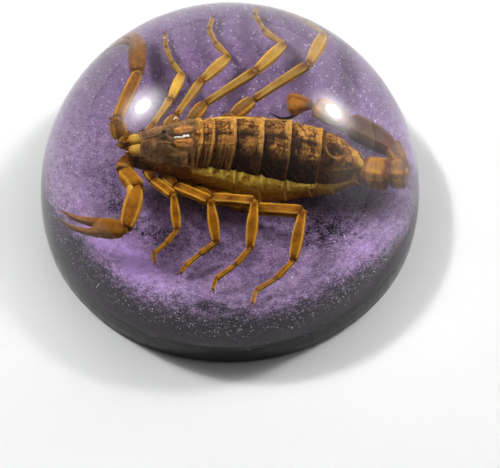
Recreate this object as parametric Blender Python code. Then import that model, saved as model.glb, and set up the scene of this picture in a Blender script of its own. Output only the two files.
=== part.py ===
"""The cast body of a scorpion paperweight: a clear resin dome over a glitter pour and a black base.

Metres, +Z up. The origin is the centre of the flat underside. The dome is turned about +Z, and its
curved outside is one sphere that runs on down past the glitter pour to the black base.
"""

from math import asin, atan2, cos, pi, sin, sqrt

import bpy

# Driving dimensions
DOME_DIAMETER = 0.063
DOME_HEIGHT = 0.034
BASE_THICKNESS = 0.0042
GLITTER_THICKNESS = 0.0008
LAYER_GAP = 0.0003
BOTTOM_EDGE_RADIUS = 0.0008

# Fineness of the turned shapes
TURN_STEPS = 72
DOME_ARC_STEPS = 22
LAYER_ARC_STEPS = 2
EDGE_ARC_STEPS = 5
AXIS_MERGE = 0.00001

# Worked out from the driving dimensions
SPHERE_RADIUS = DOME_DIAMETER / 2
SPHERE_CENTRE_Z = DOME_HEIGHT - SPHERE_RADIUS
GLITTER_BOTTOM = BASE_THICKNESS + LAYER_GAP
GLITTER_TOP = GLITTER_BOTTOM + GLITTER_THICKNESS
DOME_BOTTOM = GLITTER_TOP + LAYER_GAP

# Colour, roughness, metallic and transmission of each pour
CLEAR_RESIN = ((0.96, 0.96, 0.95, 1.0), 0.02, 0.0, 1.0)
PURPLE_GLITTER = ((0.26, 0.17, 0.36, 1.0), 0.45, 0.3, 0.0)
BLACK_RESIN = ((0.012, 0.012, 0.014, 1.0), 0.12, 0.0, 0.0)


def clear_scene():
    """Take every object out of the scene."""
    for obj in list(bpy.data.objects):
        bpy.data.objects.remove(obj, do_unlink=True)


def resin(name, finish):
    """A material of one pour."""
    colour, roughness, metallic, transmission = finish
    material = bpy.data.materials.new(name)
    material.use_nodes = True
    material.diffuse_color = colour
    shader = material.node_tree.nodes["Principled BSDF"]
    shader.inputs["Base Color"].default_value = colour
    shader.inputs["Roughness"].default_value = roughness
    shader.inputs["Metallic"].default_value = metallic
    shader.inputs["Transmission Weight"].default_value = transmission
    return material


def arc(centre_x, centre_z, radius, start, end, steps):
    """Points of an arc in the XZ plane, with both its ends. Angles are from +X, up is positive."""
    angles = [start + (end - start) * step / steps for step in range(steps + 1)]
    return [(centre_x + radius * cos(a), centre_z + radius * sin(a)) for a in angles]


def sphere_angle(height):
    """Where the dome's outside passes this height, as an angle above its widest circle."""
    return asin((height - SPHERE_CENTRE_Z) / SPHERE_RADIUS)


def outside(top_angle, bottom_angle, steps):
    """The dome's outside between two angles, from the top down."""
    return arc(0, SPHERE_CENTRE_Z, SPHERE_RADIUS, top_angle, bottom_angle, steps)


def dome_profile():
    """From the crown down the sphere, then in along the flat that lies on the glitter."""
    side = outside(pi / 2, sphere_angle(DOME_BOTTOM), DOME_ARC_STEPS)
    return [(0, DOME_HEIGHT)] + side[1:] + [(0, DOME_BOTTOM)]


def glitter_profile():
    """A thin disc whose edge follows the sphere."""
    side = outside(sphere_angle(GLITTER_TOP), sphere_angle(GLITTER_BOTTOM), LAYER_ARC_STEPS)
    return [(0, GLITTER_TOP)] + side + [(0, GLITTER_BOTTOM)]


def base_profile():
    """A disc whose edge follows the sphere and turns under in a small round."""
    round_reach = SPHERE_RADIUS - BOTTOM_EDGE_RADIUS
    round_drop = BOTTOM_EDGE_RADIUS - SPHERE_CENTRE_Z
    round_x = sqrt(round_reach**2 - round_drop**2)
    meeting_angle = atan2(round_drop, round_x)
    side = outside(sphere_angle(BASE_THICKNESS), meeting_angle, LAYER_ARC_STEPS)
    edge = arc(round_x, BOTTOM_EDGE_RADIUS, BOTTOM_EDGE_RADIUS, meeting_angle, -pi / 2, EDGE_ARC_STEPS)
    return [(0, BASE_THICKNESS)] + side + edge[1:] + [(0, 0)]


def turn(name, profile, material):
    """Turn a profile about +Z into one closed body. The profile runs from the top down."""
    mesh = bpy.data.meshes.new(name)
    links = [(i, i + 1) for i in range(len(profile) - 1)]
    mesh.from_pydata([(x, 0, z) for x, z in profile], links, [])
    mesh.materials.append(material)
    obj = bpy.data.objects.new(name, mesh)
    bpy.context.scene.collection.objects.link(obj)
    screw = obj.modifiers.new("turn", "SCREW")
    screw.axis = "Z"
    screw.steps = TURN_STEPS
    screw.render_steps = TURN_STEPS
    screw.use_merge_vertices = True
    screw.merge_threshold = AXIS_MERGE
    screw.use_smooth_shade = True
    return obj


def main():
    clear_scene()
    turn("black_base", base_profile(), resin("black resin", BLACK_RESIN))
    turn("glitter_layer", glitter_profile(), resin("purple glitter resin", PURPLE_GLITTER))
    turn("clear_dome", dome_profile(), resin("clear resin", CLEAR_RESIN))


main()
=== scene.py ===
"""The looks of a scorpion paperweight: a dried golden scorpion cast in a clear resin dome.

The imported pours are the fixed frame. Sizes in the tables and builders are millimetres in the frame's
axes: +Z is up, the scorpion's head points to -X and its left side faces -Y. Skin.piece makes metres.
"""

import math
import random
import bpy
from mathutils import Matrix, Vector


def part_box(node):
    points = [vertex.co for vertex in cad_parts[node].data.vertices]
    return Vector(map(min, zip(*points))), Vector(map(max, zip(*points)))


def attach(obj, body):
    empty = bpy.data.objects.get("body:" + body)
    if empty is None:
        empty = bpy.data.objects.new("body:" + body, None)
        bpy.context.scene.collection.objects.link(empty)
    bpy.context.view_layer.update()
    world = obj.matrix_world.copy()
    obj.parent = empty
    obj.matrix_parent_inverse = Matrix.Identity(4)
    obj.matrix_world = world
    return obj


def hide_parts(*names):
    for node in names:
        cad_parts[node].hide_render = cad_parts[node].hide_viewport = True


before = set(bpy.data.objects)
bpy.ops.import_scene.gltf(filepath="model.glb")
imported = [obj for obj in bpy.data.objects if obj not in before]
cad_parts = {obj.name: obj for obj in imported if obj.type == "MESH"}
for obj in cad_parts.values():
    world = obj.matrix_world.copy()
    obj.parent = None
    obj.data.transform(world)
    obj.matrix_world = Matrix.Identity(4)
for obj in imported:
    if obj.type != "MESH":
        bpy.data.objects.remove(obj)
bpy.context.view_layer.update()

from types import SimpleNamespace

import bpy
import numpy as np
from bpy.props import FloatProperty, FloatVectorProperty, IntProperty, PointerProperty
from bpy.types import Operator, Panel, PropertyGroup
from mathutils import Vector, noise

bl_info = {
    "name": "Scorpion in a resin dome",
    "version": (1, 0, 0),
    "blender": (4, 5, 0),
    "location": "3D View > Sidebar > Scorpion",
    "description": "Builds a dried scorpion in a clear dome over glitter, piece by piece",
    "category": "Object",
}

MM = 0.001
UP = (0.0, 0.0, 1.0)
DOWN = (0.0, 0.0, -1.0)

# The pours, read from the frame
DOME_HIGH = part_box("clear_dome")[1].z / MM
DOME_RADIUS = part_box("black_base")[1].x / MM
DOME_CENTRE = DOME_HIGH - DOME_RADIUS
BED_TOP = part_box("glitter_layer")[1].z / MM
BASE_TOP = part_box("black_base")[1].z / MM

# The trunk along X: its middle line, the back plates' half width, crest and edge
MIDDLE = [
    (-12, 1.15), (-8, 1.15), (-4, 1.3), (0, 1.3), (3, 1.05),
    (6, 0.85), (9.4, 0.35), (13, -0.35), (16, -1.1),
]
BACK_HALF = [
    (-4.3, 3.4), (-1.7, 3.5), (0.9, 3.7), (4.2, 4.05), (7.5, 4.2), (9.4, 4.05),
    (11.3, 3.8), (13, 3.35), (14.2, 2.7), (15.2, 2.05), (16.2, 1.7),
]
BACK_CREST = [(-4.3, 12.6), (0, 13.0), (5, 13.1), (9, 12.8), (11.3, 12.4), (13.5, 11.9), (16, 11.2)]
BACK_EDGE = [(-4.3, 10.4), (0, 10.2), (3, 10.0), (6, 9.6), (13, 9.5), (16, 9.4)]
BACK_JOINTS = (-4.3, -3.1, -1.7, 0.9, 4.2, 7.5, 11.3, 15.9)

# The soft body under the plates: half width and height of its widest place, and its underside
BELLY_HALF = [
    (-10.6, 1.5), (-8.5, 2.3), (-6.5, 2.9), (-4.3, 3.6), (-1.5, 4.5), (1, 5.1),
    (3.2, 5.35), (6.3, 5.0), (9.4, 4.25), (12.9, 3.3), (14.6, 2.3), (16.0, 1.7),
]
BELLY_WIDEST = [
    (-10.6, 9.2), (-6, 8.8), (-4, 8.6), (-1.5, 8.3), (1, 7.6),
    (3.2, 7.1), (6.3, 7.2), (9.4, 7.9), (13, 8.3), (16, 9.0),
]
BELLY_LOW = [(-10.6, 7.6), (-8, 6.9), (-5, 6.3), (0, 5.75), (6, 5.75), (9.4, 6.1), (13, 6.9), (16, 7.8)]
BELLY_PLATES = (0.6, 3.8, 6.8, 9.8, 12.6, 16.0)

# Each leg from the body out: coxa root, coxa end, hip, knee, then the ends of patella, tibia, basitarsus
# and tarsus
LEGS = {
    "leg_left_1": [(-8.8, 0.4, 7.2), (-9.6, -1.0, 8.0), (-9.0, -2.3, 8.2), (-6.8, -5.8, 10.0),
                   (-6.45, -10.3, 9.0), (-7.8, -11.6, 8.0), (-9.55, -12.65, 7.0), (-9.4, -13.7, 6.5)],
    "leg_left_2": [(-7.6, 0.4, 6.9), (-7.5, -1.9, 7.8), (-6.3, -3.1, 8.1), (-2.3, -6.6, 10.0),
                   (-1.6, -11.4, 8.0), (-3.65, -12.5, 7.0), (-5.5, -13.95, 6.3), (-6.1, -14.9, 6.0)],
    "leg_left_3": [(-6.6, 0.4, 6.7), (-4.2, -3.2, 7.5), (-2.2, -4.75, 8.0), (3.1, -6.7, 10.0),
                   (2.6, -12.9, 8.5), (0.8, -14.75, 7.5), (-1.7, -16.5, 6.7), (-2.1, -18.1, 6.2)],
    "leg_left_4": [(-5.6, 0.5, 6.6), (0.3, -5.0, 7.4), (1.9, -6.3, 8.2), (9.05, -7.6, 9.2),
                   (8.15, -14.25, 7.5), (6.05, -16.7, 6.8), (3.5, -18.3, 6.2), (3.1, -20.5, 5.9)],
    "leg_right_1": [(-8.8, 1.9, 7.2), (-9.3, 3.4, 8.5), (-8.8, 4.7, 9.0), (-6.6, 8.3, 8.2),
                    (-5.1, 12.1, 6.6), (-6.0, 13.6, 6.1), (-6.55, 15.4, 5.9), (-6.6, 16.9, 5.7)],
    "leg_right_2": [(-7.6, 2.0, 6.9), (-7.3, 4.2, 8.4), (-6.1, 5.8, 9.0), (-3.2, 10.5, 8.2),
                    (-0.2, 14.1, 6.6), (-1.5, 15.7, 6.1), (-2.2, 17.3, 5.9), (-1.8, 18.5, 5.7)],
    "leg_right_3": [(-6.6, 2.1, 6.7), (-4.4, 5.5, 8.5), (-2.8, 7.4, 8.9), (2.65, 11.35, 9.0),
                    (5.45, 15.5, 6.6), (3.3, 17.1, 6.1), (2.3, 18.95, 5.9), (2.5, 19.7, 5.7)],
    "leg_right_4": [(-5.6, 2.1, 6.6), (0.3, 6.1, 8.4), (2.55, 7.9, 8.9), (8.5, 12.4, 9.0),
                    (9.9, 17.25, 6.8), (7.7, 18.8, 6.2), (5.3, 20.2, 5.9), (4.6, 21.6, 5.7)],
}

# How stout the first to the fourth pair of legs are
LEG_GIRTH = (0.88, 1.0, 1.08, 1.14)

# The arms: coxa root, trochanter root, femur root, patella root, hand root and finger gap, then each finger
ARMS = {
    "pedipalp_left": {
        "joints": [(-8.6, 0.2, 8.4), (-11.9, 0.5, 8.6), (-12.6, -1.35, 8.7), (-11.2, -4.7, 9.9),
                   (-13.3, -10.75, 9.5), (-18.2, -10.3, 9.0)],
        "upper": [(-16.8, -9.75, 9.2), (-18.45, -9.35, 9.05), (-20.2, -8.75, 8.7), (-22.0, -7.7, 8.3),
                  (-23.2, -6.8, 8.0)],
        "lower": [(-17.0, -11.1, 9.0), (-18.8, -11.0, 8.9), (-20.65, -10.6, 8.7), (-22.55, -9.6, 8.3),
                  (-24.1, -8.55, 8.0)],
    },
    "pedipalp_right": {
        "joints": [(-8.6, 2.1, 8.4), (-11.0, 2.6, 8.3), (-12.6, 3.6, 8.2), (-13.2, 5.0, 9.9),
                   (-10.2, 11.4, 9.0), (-9.9, 16.0, 7.6)],
        "upper": [(-9.95, 15.3, 7.9), (-10.5, 16.8, 7.6), (-11.8, 17.6, 7.3), (-13.8, 17.3, 7.1),
                  (-15.6, 16.6, 6.9)],
        "lower": [(-9.9, 14.6, 7.7), (-10.4, 15.9, 7.3), (-11.6, 16.5, 7.0), (-13.6, 16.1, 6.8),
                  (-15.4, 15.4, 6.7)],
    },
}

# The tail's joints, root first, then the sting's bulb and the sting
TAIL = [
    (16.4, -1.6, 9.4), (20.6, -2.1, 9.5), (24.2, -1.3, 8.9),
    (20.6, 2.6, 8.3), (13.7, 5.5, 8.1), (9.4, 7.8, 8.0),
]
TAIL_GIRTH = (3.6, 3.5, 3.3, 3.05, 2.45)
BULB = [(9.2, 7.85, 8.0), (7.8, 7.95, 8.0), (6.2, 7.75, 8.0)]
STING = [(7.5, 7.3, 7.9), (6.8, 6.4, 7.85), (5.8, 6.15, 7.9), (4.4, 6.7, 8.1)]

# Bare places in the glitter, where the black pour shows: x, y and radius in millimetres
BARE_SPOTS = (
    (-3.4, -20.2, 0.9), (-0.9, -20.9, 1.5), (0.8, -22.9, 1.3), (3.0, -24.4, 1.2),
    (10.4, -20.6, 1.5), (14.2, -18.6, 1.4), (-7.4, -22.8, 1.0),
)

# Long patches in the glitter: x, y, half length and half width in millimetres, direction in degrees from +X,
# strength. The first table is painted caustic light: the lamps' light that the dome focuses onto the bed,
# painted as thicker, lighter glitter. The second is painted shadow of the body and legs, painted as thinner
# glitter.
PAINTED_CAUSTICS = (
    (-17.2, -1.2, 6.0, 1.4, 87, 0.2), (-11.6, -13.0, 5.2, 3.4, -40, 0.8), (-16.6, -8.8, 4.0, 1.8, -60, 0.5),
    (6.5, -20.0, 4.5, 1.5, 12, 0.1), (17.0, -11.0, 4.4, 1.6, 48, 0.3), (3.0, -13.5, 4.0, 1.6, -10, 0.12),
)
PAINTED_SHADOWS = (
    (-13.2, -3.4, 4.0, 2.0, 105, 0.5), (-9.5, -7.6, 3.0, 1.6, -40, 0.45), (-3.5, -9.8, 5.5, 2.0, -12, 0.35),
    (11.6, -7.4, 5.5, 3.0, 0, 0.7), (14.5, -15.4, 3.0, 1.3, 45, 0.3), (4.0, -12.0, 5.0, 1.8, -10, 0.12),
    (-6.0, -17.5, 5.0, 2.0, -25, 0.12), (2.5, 14.0, 5.0, 2.5, 0, 0.1),
)

# Where the glitter ends and the bed goes black towards the rim, partly as painted shade: radius by
# direction, in degrees from +X
GLITTER_REACH = [
    (-180, 29.0), (-165, 26.4), (-150, 24.6), (-135, 24.7), (-115, 25.4), (-90, 25.0),
    (-60, 25.6), (-45, 25.2), (-35, 27.0), (-20, 30.6), (160, 31.0), (180, 29.0),
]


# ------------------------------------------------------------------ settings


def length_setting(name, value, about):
    """A size, given in millimetres and kept in metres."""
    return FloatProperty(name=name, description=about, default=value * MM, unit="LENGTH", precision=5)


def colour_setting(name, value, about):
    """A colour as red, green and blue."""
    return FloatVectorProperty(name=name, description=about, default=value, subtype="COLOR", min=0, max=1)


class ResinSettings(PropertyGroup):
    """The clear pour, the black base and the trapped air."""

    refraction: FloatProperty(name="Refraction", description="Index of refraction", default=1.54)
    tint: colour_setting("Tint", (0.90, 0.90, 0.82), "Colour of light that has crossed the resin")
    absorption: FloatProperty(name="Absorption", description="Strength of the tint, per metre", default=3.0)
    black: colour_setting("Black", (0.008, 0.008, 0.010), "The black base")
    cloud: colour_setting("Cloud", (0.020, 0.018, 0.023), "Faint clouds in the black base")
    # Painted glint: the trapped air's colours stand for the light it reflects
    air: colour_setting("Air", (0.95, 0.93, 0.90), "Trapped air, where it shines")
    air_shade: colour_setting("Air shade", (0.85, 0.80, 0.72), "Trapped air, duller parts")


class GlitterSettings(PropertyGroup):
    """The glitter pour and its loose flakes."""

    violet_count: IntProperty(name="Violet flakes", description="Number of violet flakes", default=31000)
    silver_count: IntProperty(name="Silver flakes", description="Number of silver flakes", default=8000)
    flake: length_setting("Flake", 0.2, "Width of a flake")
    lump: length_setting("Lumps", 0.1, "Height of the lumps in the bed")
    lilac: colour_setting("Lilac", (0.38, 0.255, 0.455), "Light glitter")
    violet: colour_setting("Violet", (0.090, 0.048, 0.135), "Deep glitter")
    # Painted caustic light: the colour that the bed and flakes take where focused lamp light is painted
    painted_caustic: colour_setting("Frost", (0.56, 0.325, 0.80), "Where the glitter lies thickest")
    silver: colour_setting("Silver", (0.83, 0.80, 0.90), "Silver flakes")
    # Also the black of the painted shadows and of the painted shade towards the rim
    bare_and_shade: colour_setting("Bare", (0.005, 0.004, 0.005), "Black resin under thin glitter")


class ScorpionSettings(PropertyGroup):
    """The dried animal."""

    plate: length_setting("Plate", 0.14, "Thickness of a back plate")
    keel: length_setting("Keel", 0.14, "Height of the keels on the back")
    hair: length_setting("Hair", 0.55, "Length of the bristles")
    gold: colour_setting("Gold", (0.275, 0.105, 0.005), "Light cuticle of the near legs and claws")
    # Lit copy: paler and greyer than the near legs' gold, as painted light and reflected haze on the lamps'
    # side
    lit_honey: colour_setting("Honey", (0.27, 0.158, 0.045), "Light cuticle of the far legs")
    orange: colour_setting("Orange", (0.44, 0.185, 0.016), "Light cuticle of the tail")
    amber: colour_setting("Amber", (0.11, 0.028, 0.0025), "Deep cuticle of legs and claws")
    tan: colour_setting("Tan", (0.27, 0.105, 0.020), "Light marks of the back")
    brown: colour_setting("Brown", (0.030, 0.012, 0.006), "Dark bands of the back")
    # Partly the tail's own dark colour, made lighter and greyer as a painted reflection: the haze of the
    # lamp over the tail
    umber: colour_setting("Umber", (0.09, 0.048, 0.030), "Dark parts of the tail")
    rust: colour_setting("Rust", (0.12, 0.022, 0.004), "Keels and joint rims")
    cocoa: colour_setting("Cocoa", (0.036, 0.018, 0.011), "Dark parts of the head shield")
    clay: colour_setting("Clay", (0.30, 0.155, 0.062), "Light marks of the head shield")
    # Also the colour of the painted highlight in front of the eyes
    ember: colour_setting("Ember", (0.62, 0.25, 0.035), "Bright grains at the back of the head shield")
    sand: colour_setting("Sand", (0.55, 0.285, 0.055), "Pale margins and grains of the back")
    # Also the colour of the painted highlights on the far legs
    straw: colour_setting("Straw", (0.56, 0.33, 0.05), "Soft skin and pale margins of limbs and belly")
    # Partly the keels' own colour, partly a painted highlight along the edges of legs and claws
    keel_gold_and_highlight: colour_setting("Keel gold", (0.64, 0.345, 0.03), "Edges of legs and claws")
    butter: colour_setting("Butter", (0.70, 0.41, 0.034), "Soft skin of the flanks")
    cream: colour_setting("Cream", (0.95, 0.70, 0.12), "Pale creases of the flanks")
    horn: colour_setting("Horn", (0.030, 0.012, 0.008), "Sting and eyes")
    pitch: colour_setting("Pitch", (0.004, 0.003, 0.003), "Darkest parts of the sting and eyes")


class StudioSettings(PropertyGroup):
    """Floor, lamps and camera."""

    lamp: FloatProperty(name="Lamps", description="Radiance of the softboxes", default=190.0)
    sky: FloatProperty(name="Room light", description="Strength of the room's light", default=0.75)
    floor: colour_setting("Floor", (0.86, 0.86, 0.86), "The pale floor")
    lens: FloatProperty(name="Lens", description="Focal length", default=119.7, unit="CAMERA")
    look_down: FloatProperty(
        name="Look down", description="Camera's angle below level", default=math.radians(56.5),
        subtype="ANGLE"
    )
    stand_off: length_setting("Distance", 278.45, "Camera to the dome's centre")


# ------------------------------------------------------------------ curves and noise


def cubic(t, gap, a, b, slope_a, slope_b):
    """A smooth line from a to b while t runs from 0 to 1, with its slope given at each end."""
    line = a * (2 * t**3 - 3 * t**2 + 1) + b * (3 * t**2 - 2 * t**3)
    return line + gap * (slope_a * (t**3 - 2 * t**2 + t) + slope_b * (t**3 - t**2))


def flowing(stops, x):
    """Reads a smooth line through (place, value) stops at x."""
    place, value = (np.array(column, float) for column in zip(*stops))
    slope = np.gradient(value, place)
    x = np.clip(np.asarray(x, float), place[0], place[-1])
    i = np.clip(np.searchsorted(place, x) - 1, 0, len(place) - 2)
    gap = place[i + 1] - place[i]
    return cubic((x - place[i]) / gap, gap, value[i], value[i + 1], slope[i], slope[i + 1])


def through(places, values, v):
    """Smooth line through values that are arrays of their own, read at the shares v."""
    total = np.zeros(np.broadcast(v, values[0]).shape)
    last = len(places) - 1
    for i in range(last):
        here = (v >= places[i]) & ((v < places[i + 1]) | (i == last - 1))
        gap = places[i + 1] - places[i]
        t = np.clip((v - places[i]) / gap, 0, 1)
        before, after = max(i - 1, 0), min(i + 2, last)
        slope_a = (values[i + 1] - values[before]) / (places[i + 1] - places[before])
        slope_b = (values[after] - values[i]) / (places[after] - places[i])
        total = np.where(here, cubic(t, gap, values[i], values[i + 1], slope_a, slope_b), total)
    return total


def fade(low, high, x):
    """0 below low, 1 above high, smooth between."""
    t = np.clip((np.asarray(x, float) - low) / (high - low), 0, 1)
    return t * t * (3 - 2 * t)


def hump(x, centre, width):
    """1 at the centre, falling to nothing a few widths away."""
    return np.exp(-(((np.asarray(x, float) - centre) / width) ** 2))


def unit(vectors):
    """These vectors at length 1."""
    vectors = np.asarray(vectors, float)
    return vectors / np.maximum(np.linalg.norm(vectors, axis=-1, keepdims=True), 1e-12)


def grain(points, size, seed=0):
    """Smooth noise at these points, about -1 to 1, with lumps of this size."""
    places = np.asarray(points, float).reshape(-1, 3) / size + 17.3 * seed
    return np.array([noise.noise(p) for p in places.tolist()]).reshape(np.shape(points)[:-1])


def cells(points, size, seed=0):
    """How far each place is from the border of its cell, and a number that the whole cell shares."""
    places = np.asarray(points, float).reshape(-1, 3) / size + 17.3 * seed
    border, share = [], []
    for place in places.tolist():
        gaps, centres = noise.voronoi(place)
        border.append(gaps[1] - gaps[0])
        share.append(noise.noise(centres[0] * 5.7))
    shape = np.shape(points)[:-1]
    return np.array(border).reshape(shape), np.array(share).reshape(shape)


# ------------------------------------------------------------------ mesh kit

# What is painted on each point: keels and rims, partly painted highlight on legs and claws, deeper colour,
# and soft pale skin with some painted highlights. On the glitter bed they are how even it lies, how thin it
# lies together with painted shade, and painted caustic light.
PAINTS = ("ridge", "dark", "pale")


def enclosed(points, faces):
    """Volume that the faces enclose. It is negative when they face in."""
    total = 0.0
    for k in range(1, faces.shape[1] - 1):
        a, b, c = (points[faces[:, column]] for column in (0, k, k + 1))
        total += np.einsum("ij,ij->", a, np.cross(b, c))
    return total / 6


class Skin:
    """The closed shells of one piece, in millimetres, with paint on their points."""

    def __init__(self):
        self.points = []
        self.faces = []
        self.paint = []
        self.total = 0

    def shell(self, points, blocks, paint):
        """Adds one closed shell, faces out. paint holds a row of values for each name in PAINTS."""
        if sum(enclosed(points, block) for block in blocks) < 0:
            blocks = [block[:, ::-1] for block in blocks]
        self.points.append(points)
        self.paint.append(paint)
        for block in blocks:
            self.faces += (block + self.total).tolist()
        self.total += len(points)

    def piece(self, name, material, sharp=50):
        """Makes the object, riding on the one body there is."""
        mesh = bpy.data.meshes.new(name)
        mesh.from_pydata((np.concatenate(self.points) * MM).tolist(), [], self.faces)
        values = np.concatenate(self.paint, axis=1)
        for row, paint in zip(values, PAINTS):
            layer = mesh.attributes.new(paint, "FLOAT", "POINT")
            layer.data.foreach_set("value", np.ascontiguousarray(row, np.float32))
        mesh.shade_smooth()
        mesh.set_sharp_from_angle(angle=math.radians(sharp))
        mesh.materials.append(material)
        obj = bpy.data.objects.new(name, mesh)
        bpy.context.scene.collection.objects.link(obj)
        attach(obj, "root")
        return obj


def grid_faces(rows, columns, closed):
    """Quads over a grid of points. closed joins the last column to the first."""
    row, column = np.meshgrid(np.arange(rows - 1), np.arange(columns - (not closed)), indexing="ij")
    a = (row * columns + column).ravel()
    b = (row * columns + (column + 1) % columns).ravel()
    return np.stack([a, b, b + columns, a + columns], -1)


def loft(skin, rings, **paint):
    """A closed shell over rings of points, each end closed to a point in its middle."""
    count, sides = rings.shape[:2]
    points = np.concatenate([rings.reshape(-1, 3), rings[[0, -1]].mean(1)])
    first = np.arange(sides)
    last = first + (count - 1) * sides
    fans = [
        np.stack([np.full(sides, count * sides), np.roll(first, -1), first], -1),
        np.stack([np.full(sides, count * sides + 1), last, np.roll(last, -1)], -1),
    ]
    rows = []
    for name in PAINTS:
        value = np.broadcast_to(paint.get(name, 0.0), (count, sides))
        rows.append(np.concatenate([value.ravel(), value[[0, -1]].mean(1)]))
    skin.shell(points, [grid_faces(count, sides, True)] + fans, np.array(rows))


def blunt(t, tips):
    """Rounds both ends of a sweep: tips are the shares of its length that the rounding takes."""
    start = np.clip(t / tips[0], 0, 1)
    end = np.clip((1 - t) / tips[1], 0, 1)
    return np.sqrt(np.clip(1 - (1 - start) ** 2, 0.002, 1) * np.clip(1 - (1 - end) ** 2, 0.002, 1))


def stops_or_number(value, t):
    """A paint given as a number, or as (place, value) stops along a sweep."""
    return flowing(value, t)[:, None] if isinstance(value, list) else value


def rail(route, rings):
    """A smooth line through a route: shares along it, its places, and the directions across and over it."""
    route = np.array(route, float)
    steps = np.linalg.norm(np.diff(route, axis=0), axis=1)
    place = np.concatenate([[0], np.cumsum(steps)]) / steps.sum()
    t = 0.5 - 0.5 * np.cos(np.pi * np.linspace(0, 1, rings))
    middle = np.stack([flowing(list(zip(place, route[:, axis])), t) for axis in range(3)], -1)
    along = unit(np.gradient(middle, t, axis=0))
    side = unit(np.cross(along, UP))
    return t, middle, side, np.cross(side, along)


def rounded_square(angle, square):
    """A ring between -1 and 1 both ways: a circle at 2, squarer above."""
    flat = np.sign(np.cos(angle)) * np.abs(np.cos(angle)) ** (2 / square)
    tall = np.sign(np.sin(angle)) * np.abs(np.sin(angle)) ** (2 / square)
    return flat, tall


def keel_lines(keels, angle, t):
    """How far keels lift each place of a limb, their crests, and the grooves beside them."""
    lift, crest, groove = (np.zeros((len(t), len(angle))) for _ in range(3))
    run = (fade(0.01, 0.08, t) * (1 - fade(0.92, 0.99, t)))[:, None]
    for degrees, height, spread_out, beads in keels:
        turn = (angle - math.radians(degrees) + np.pi) % (2 * np.pi) - np.pi
        gap = np.abs(turn) / math.radians(spread_out)
        beaded = 1 + 0.4 * np.cos(2 * np.pi * beads * t) * (beads > 0)
        lift += height * run * beaded[:, None] * hump(gap, 0, 1)
        if height > 0:
            crest = np.maximum(crest, run * hump(gap, 0, 1.5))
            groove = np.maximum(groove, run * hump(gap, 2.6, 1.0))
        else:
            groove = np.maximum(groove, run * hump(gap, 0, 1))
    return lift, crest, groove


def sweep(skin, route, width, depth, square=2.3, keels=(), rings=26, sides=24, tips=(0.06, 0.06),
          lumps=0.0, seed=0, ridge=0.0, dark=0.0, pale=0.0, glow=1.0):
    """A limb along a smooth route, with (place, value) stops of width and depth.

    keels are (angle in degrees, height, spread in degrees, beads), and glow is how strongly their crests are
    painted in the ridge colour, which on legs and claws is partly a painted highlight.
    Returns its rings and their middles.
    """
    t, middle, side, over = rail(route, rings)
    angle = np.linspace(0, 2 * np.pi, sides, endpoint=False)
    flat, tall = rounded_square(angle, square)
    half_width = flowing(width, t) / 2 * blunt(t, tips)
    half_depth = flowing(depth, t) / 2 * blunt(t, tips)
    out = side[:, None] * (half_width[:, None] * flat)[..., None]
    out = out + over[:, None] * (half_depth[:, None] * tall)[..., None]
    lift, crest, groove = keel_lines(keels, angle, t)
    shape = middle[:, None] + out + unit(out) * lift[..., None]
    if lumps:
        shape = shape + unit(out) * (lumps * grain(shape, 0.45, seed))[..., None]
    loft(
        skin,
        shape,
        # Keel crests painted in the ridge colour, partly as highlight
        ridge=np.clip(glow * crest + stops_or_number(ridge, t), 0, 1),
        dark=np.clip(0.45 * glow * groove + stops_or_number(dark, t), 0, 1.3),
        pale=stops_or_number(pale, t),
    )
    return shape, middle


def turned_rings(radius, height, sides):
    """Rings of points about Z, one for each radius and height."""
    turn = np.linspace(0, 2 * np.pi, sides, endpoint=False)
    z = np.repeat(height[:, None], sides, 1)
    return np.stack([radius[:, None] * np.cos(turn), radius[:, None] * np.sin(turn), z], -1)


def ball(skin, centre, radius, squash=(1, 1, 1), **paint):
    """A small knob: a sphere, squashed along X, Y and Z."""
    tilt = np.pi * (np.arange(9) + 0.5) / 9
    rings = turned_rings(np.sin(tilt), np.cos(tilt), 14)
    loft(skin, np.array(centre) + radius * np.array(squash) * rings, **paint)


def spike(skin, root, tip, width, **paint):
    """A thin three-sided bristle, spine or tooth."""
    root, tip = np.array(root, float), np.array(tip, float)
    along = unit(tip - root)
    side = unit(np.cross(along, (0.31, 0.52, 0.79)))
    over = np.cross(side, along)
    turn = np.arange(3) * 2 * np.pi / 3
    base = root + width / 2 * (np.cos(turn)[:, None] * side + np.sin(turn)[:, None] * over)
    points = np.concatenate([base, [tip]])
    faces = np.array([(0, 1, 2), (0, 3, 1), (1, 3, 2), (2, 3, 0)])
    rows = np.array([np.full(4, paint.get(name, 0.0)) for name in PAINTS])
    skin.shell(points, [faces], rows)


def bristles(skin, swept, count, length, draw):
    """Plants bristles at random on a sweep, leaning towards its end."""
    rings, middle = swept
    for _ in range(count):
        i = draw.randrange(3, len(rings) - 3)
        k = draw.randrange(rings.shape[1])
        root = rings[i, k]
        out = unit(root - middle[i])
        lean = unit(middle[i + 1] - middle[i - 1])
        tip = root + (out + 0.5 * lean) * length * draw.uniform(0.6, 1.1)
        spike(skin, root - 0.05 * out, tip, 0.045, dark=0.75, ridge=1.0)


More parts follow.
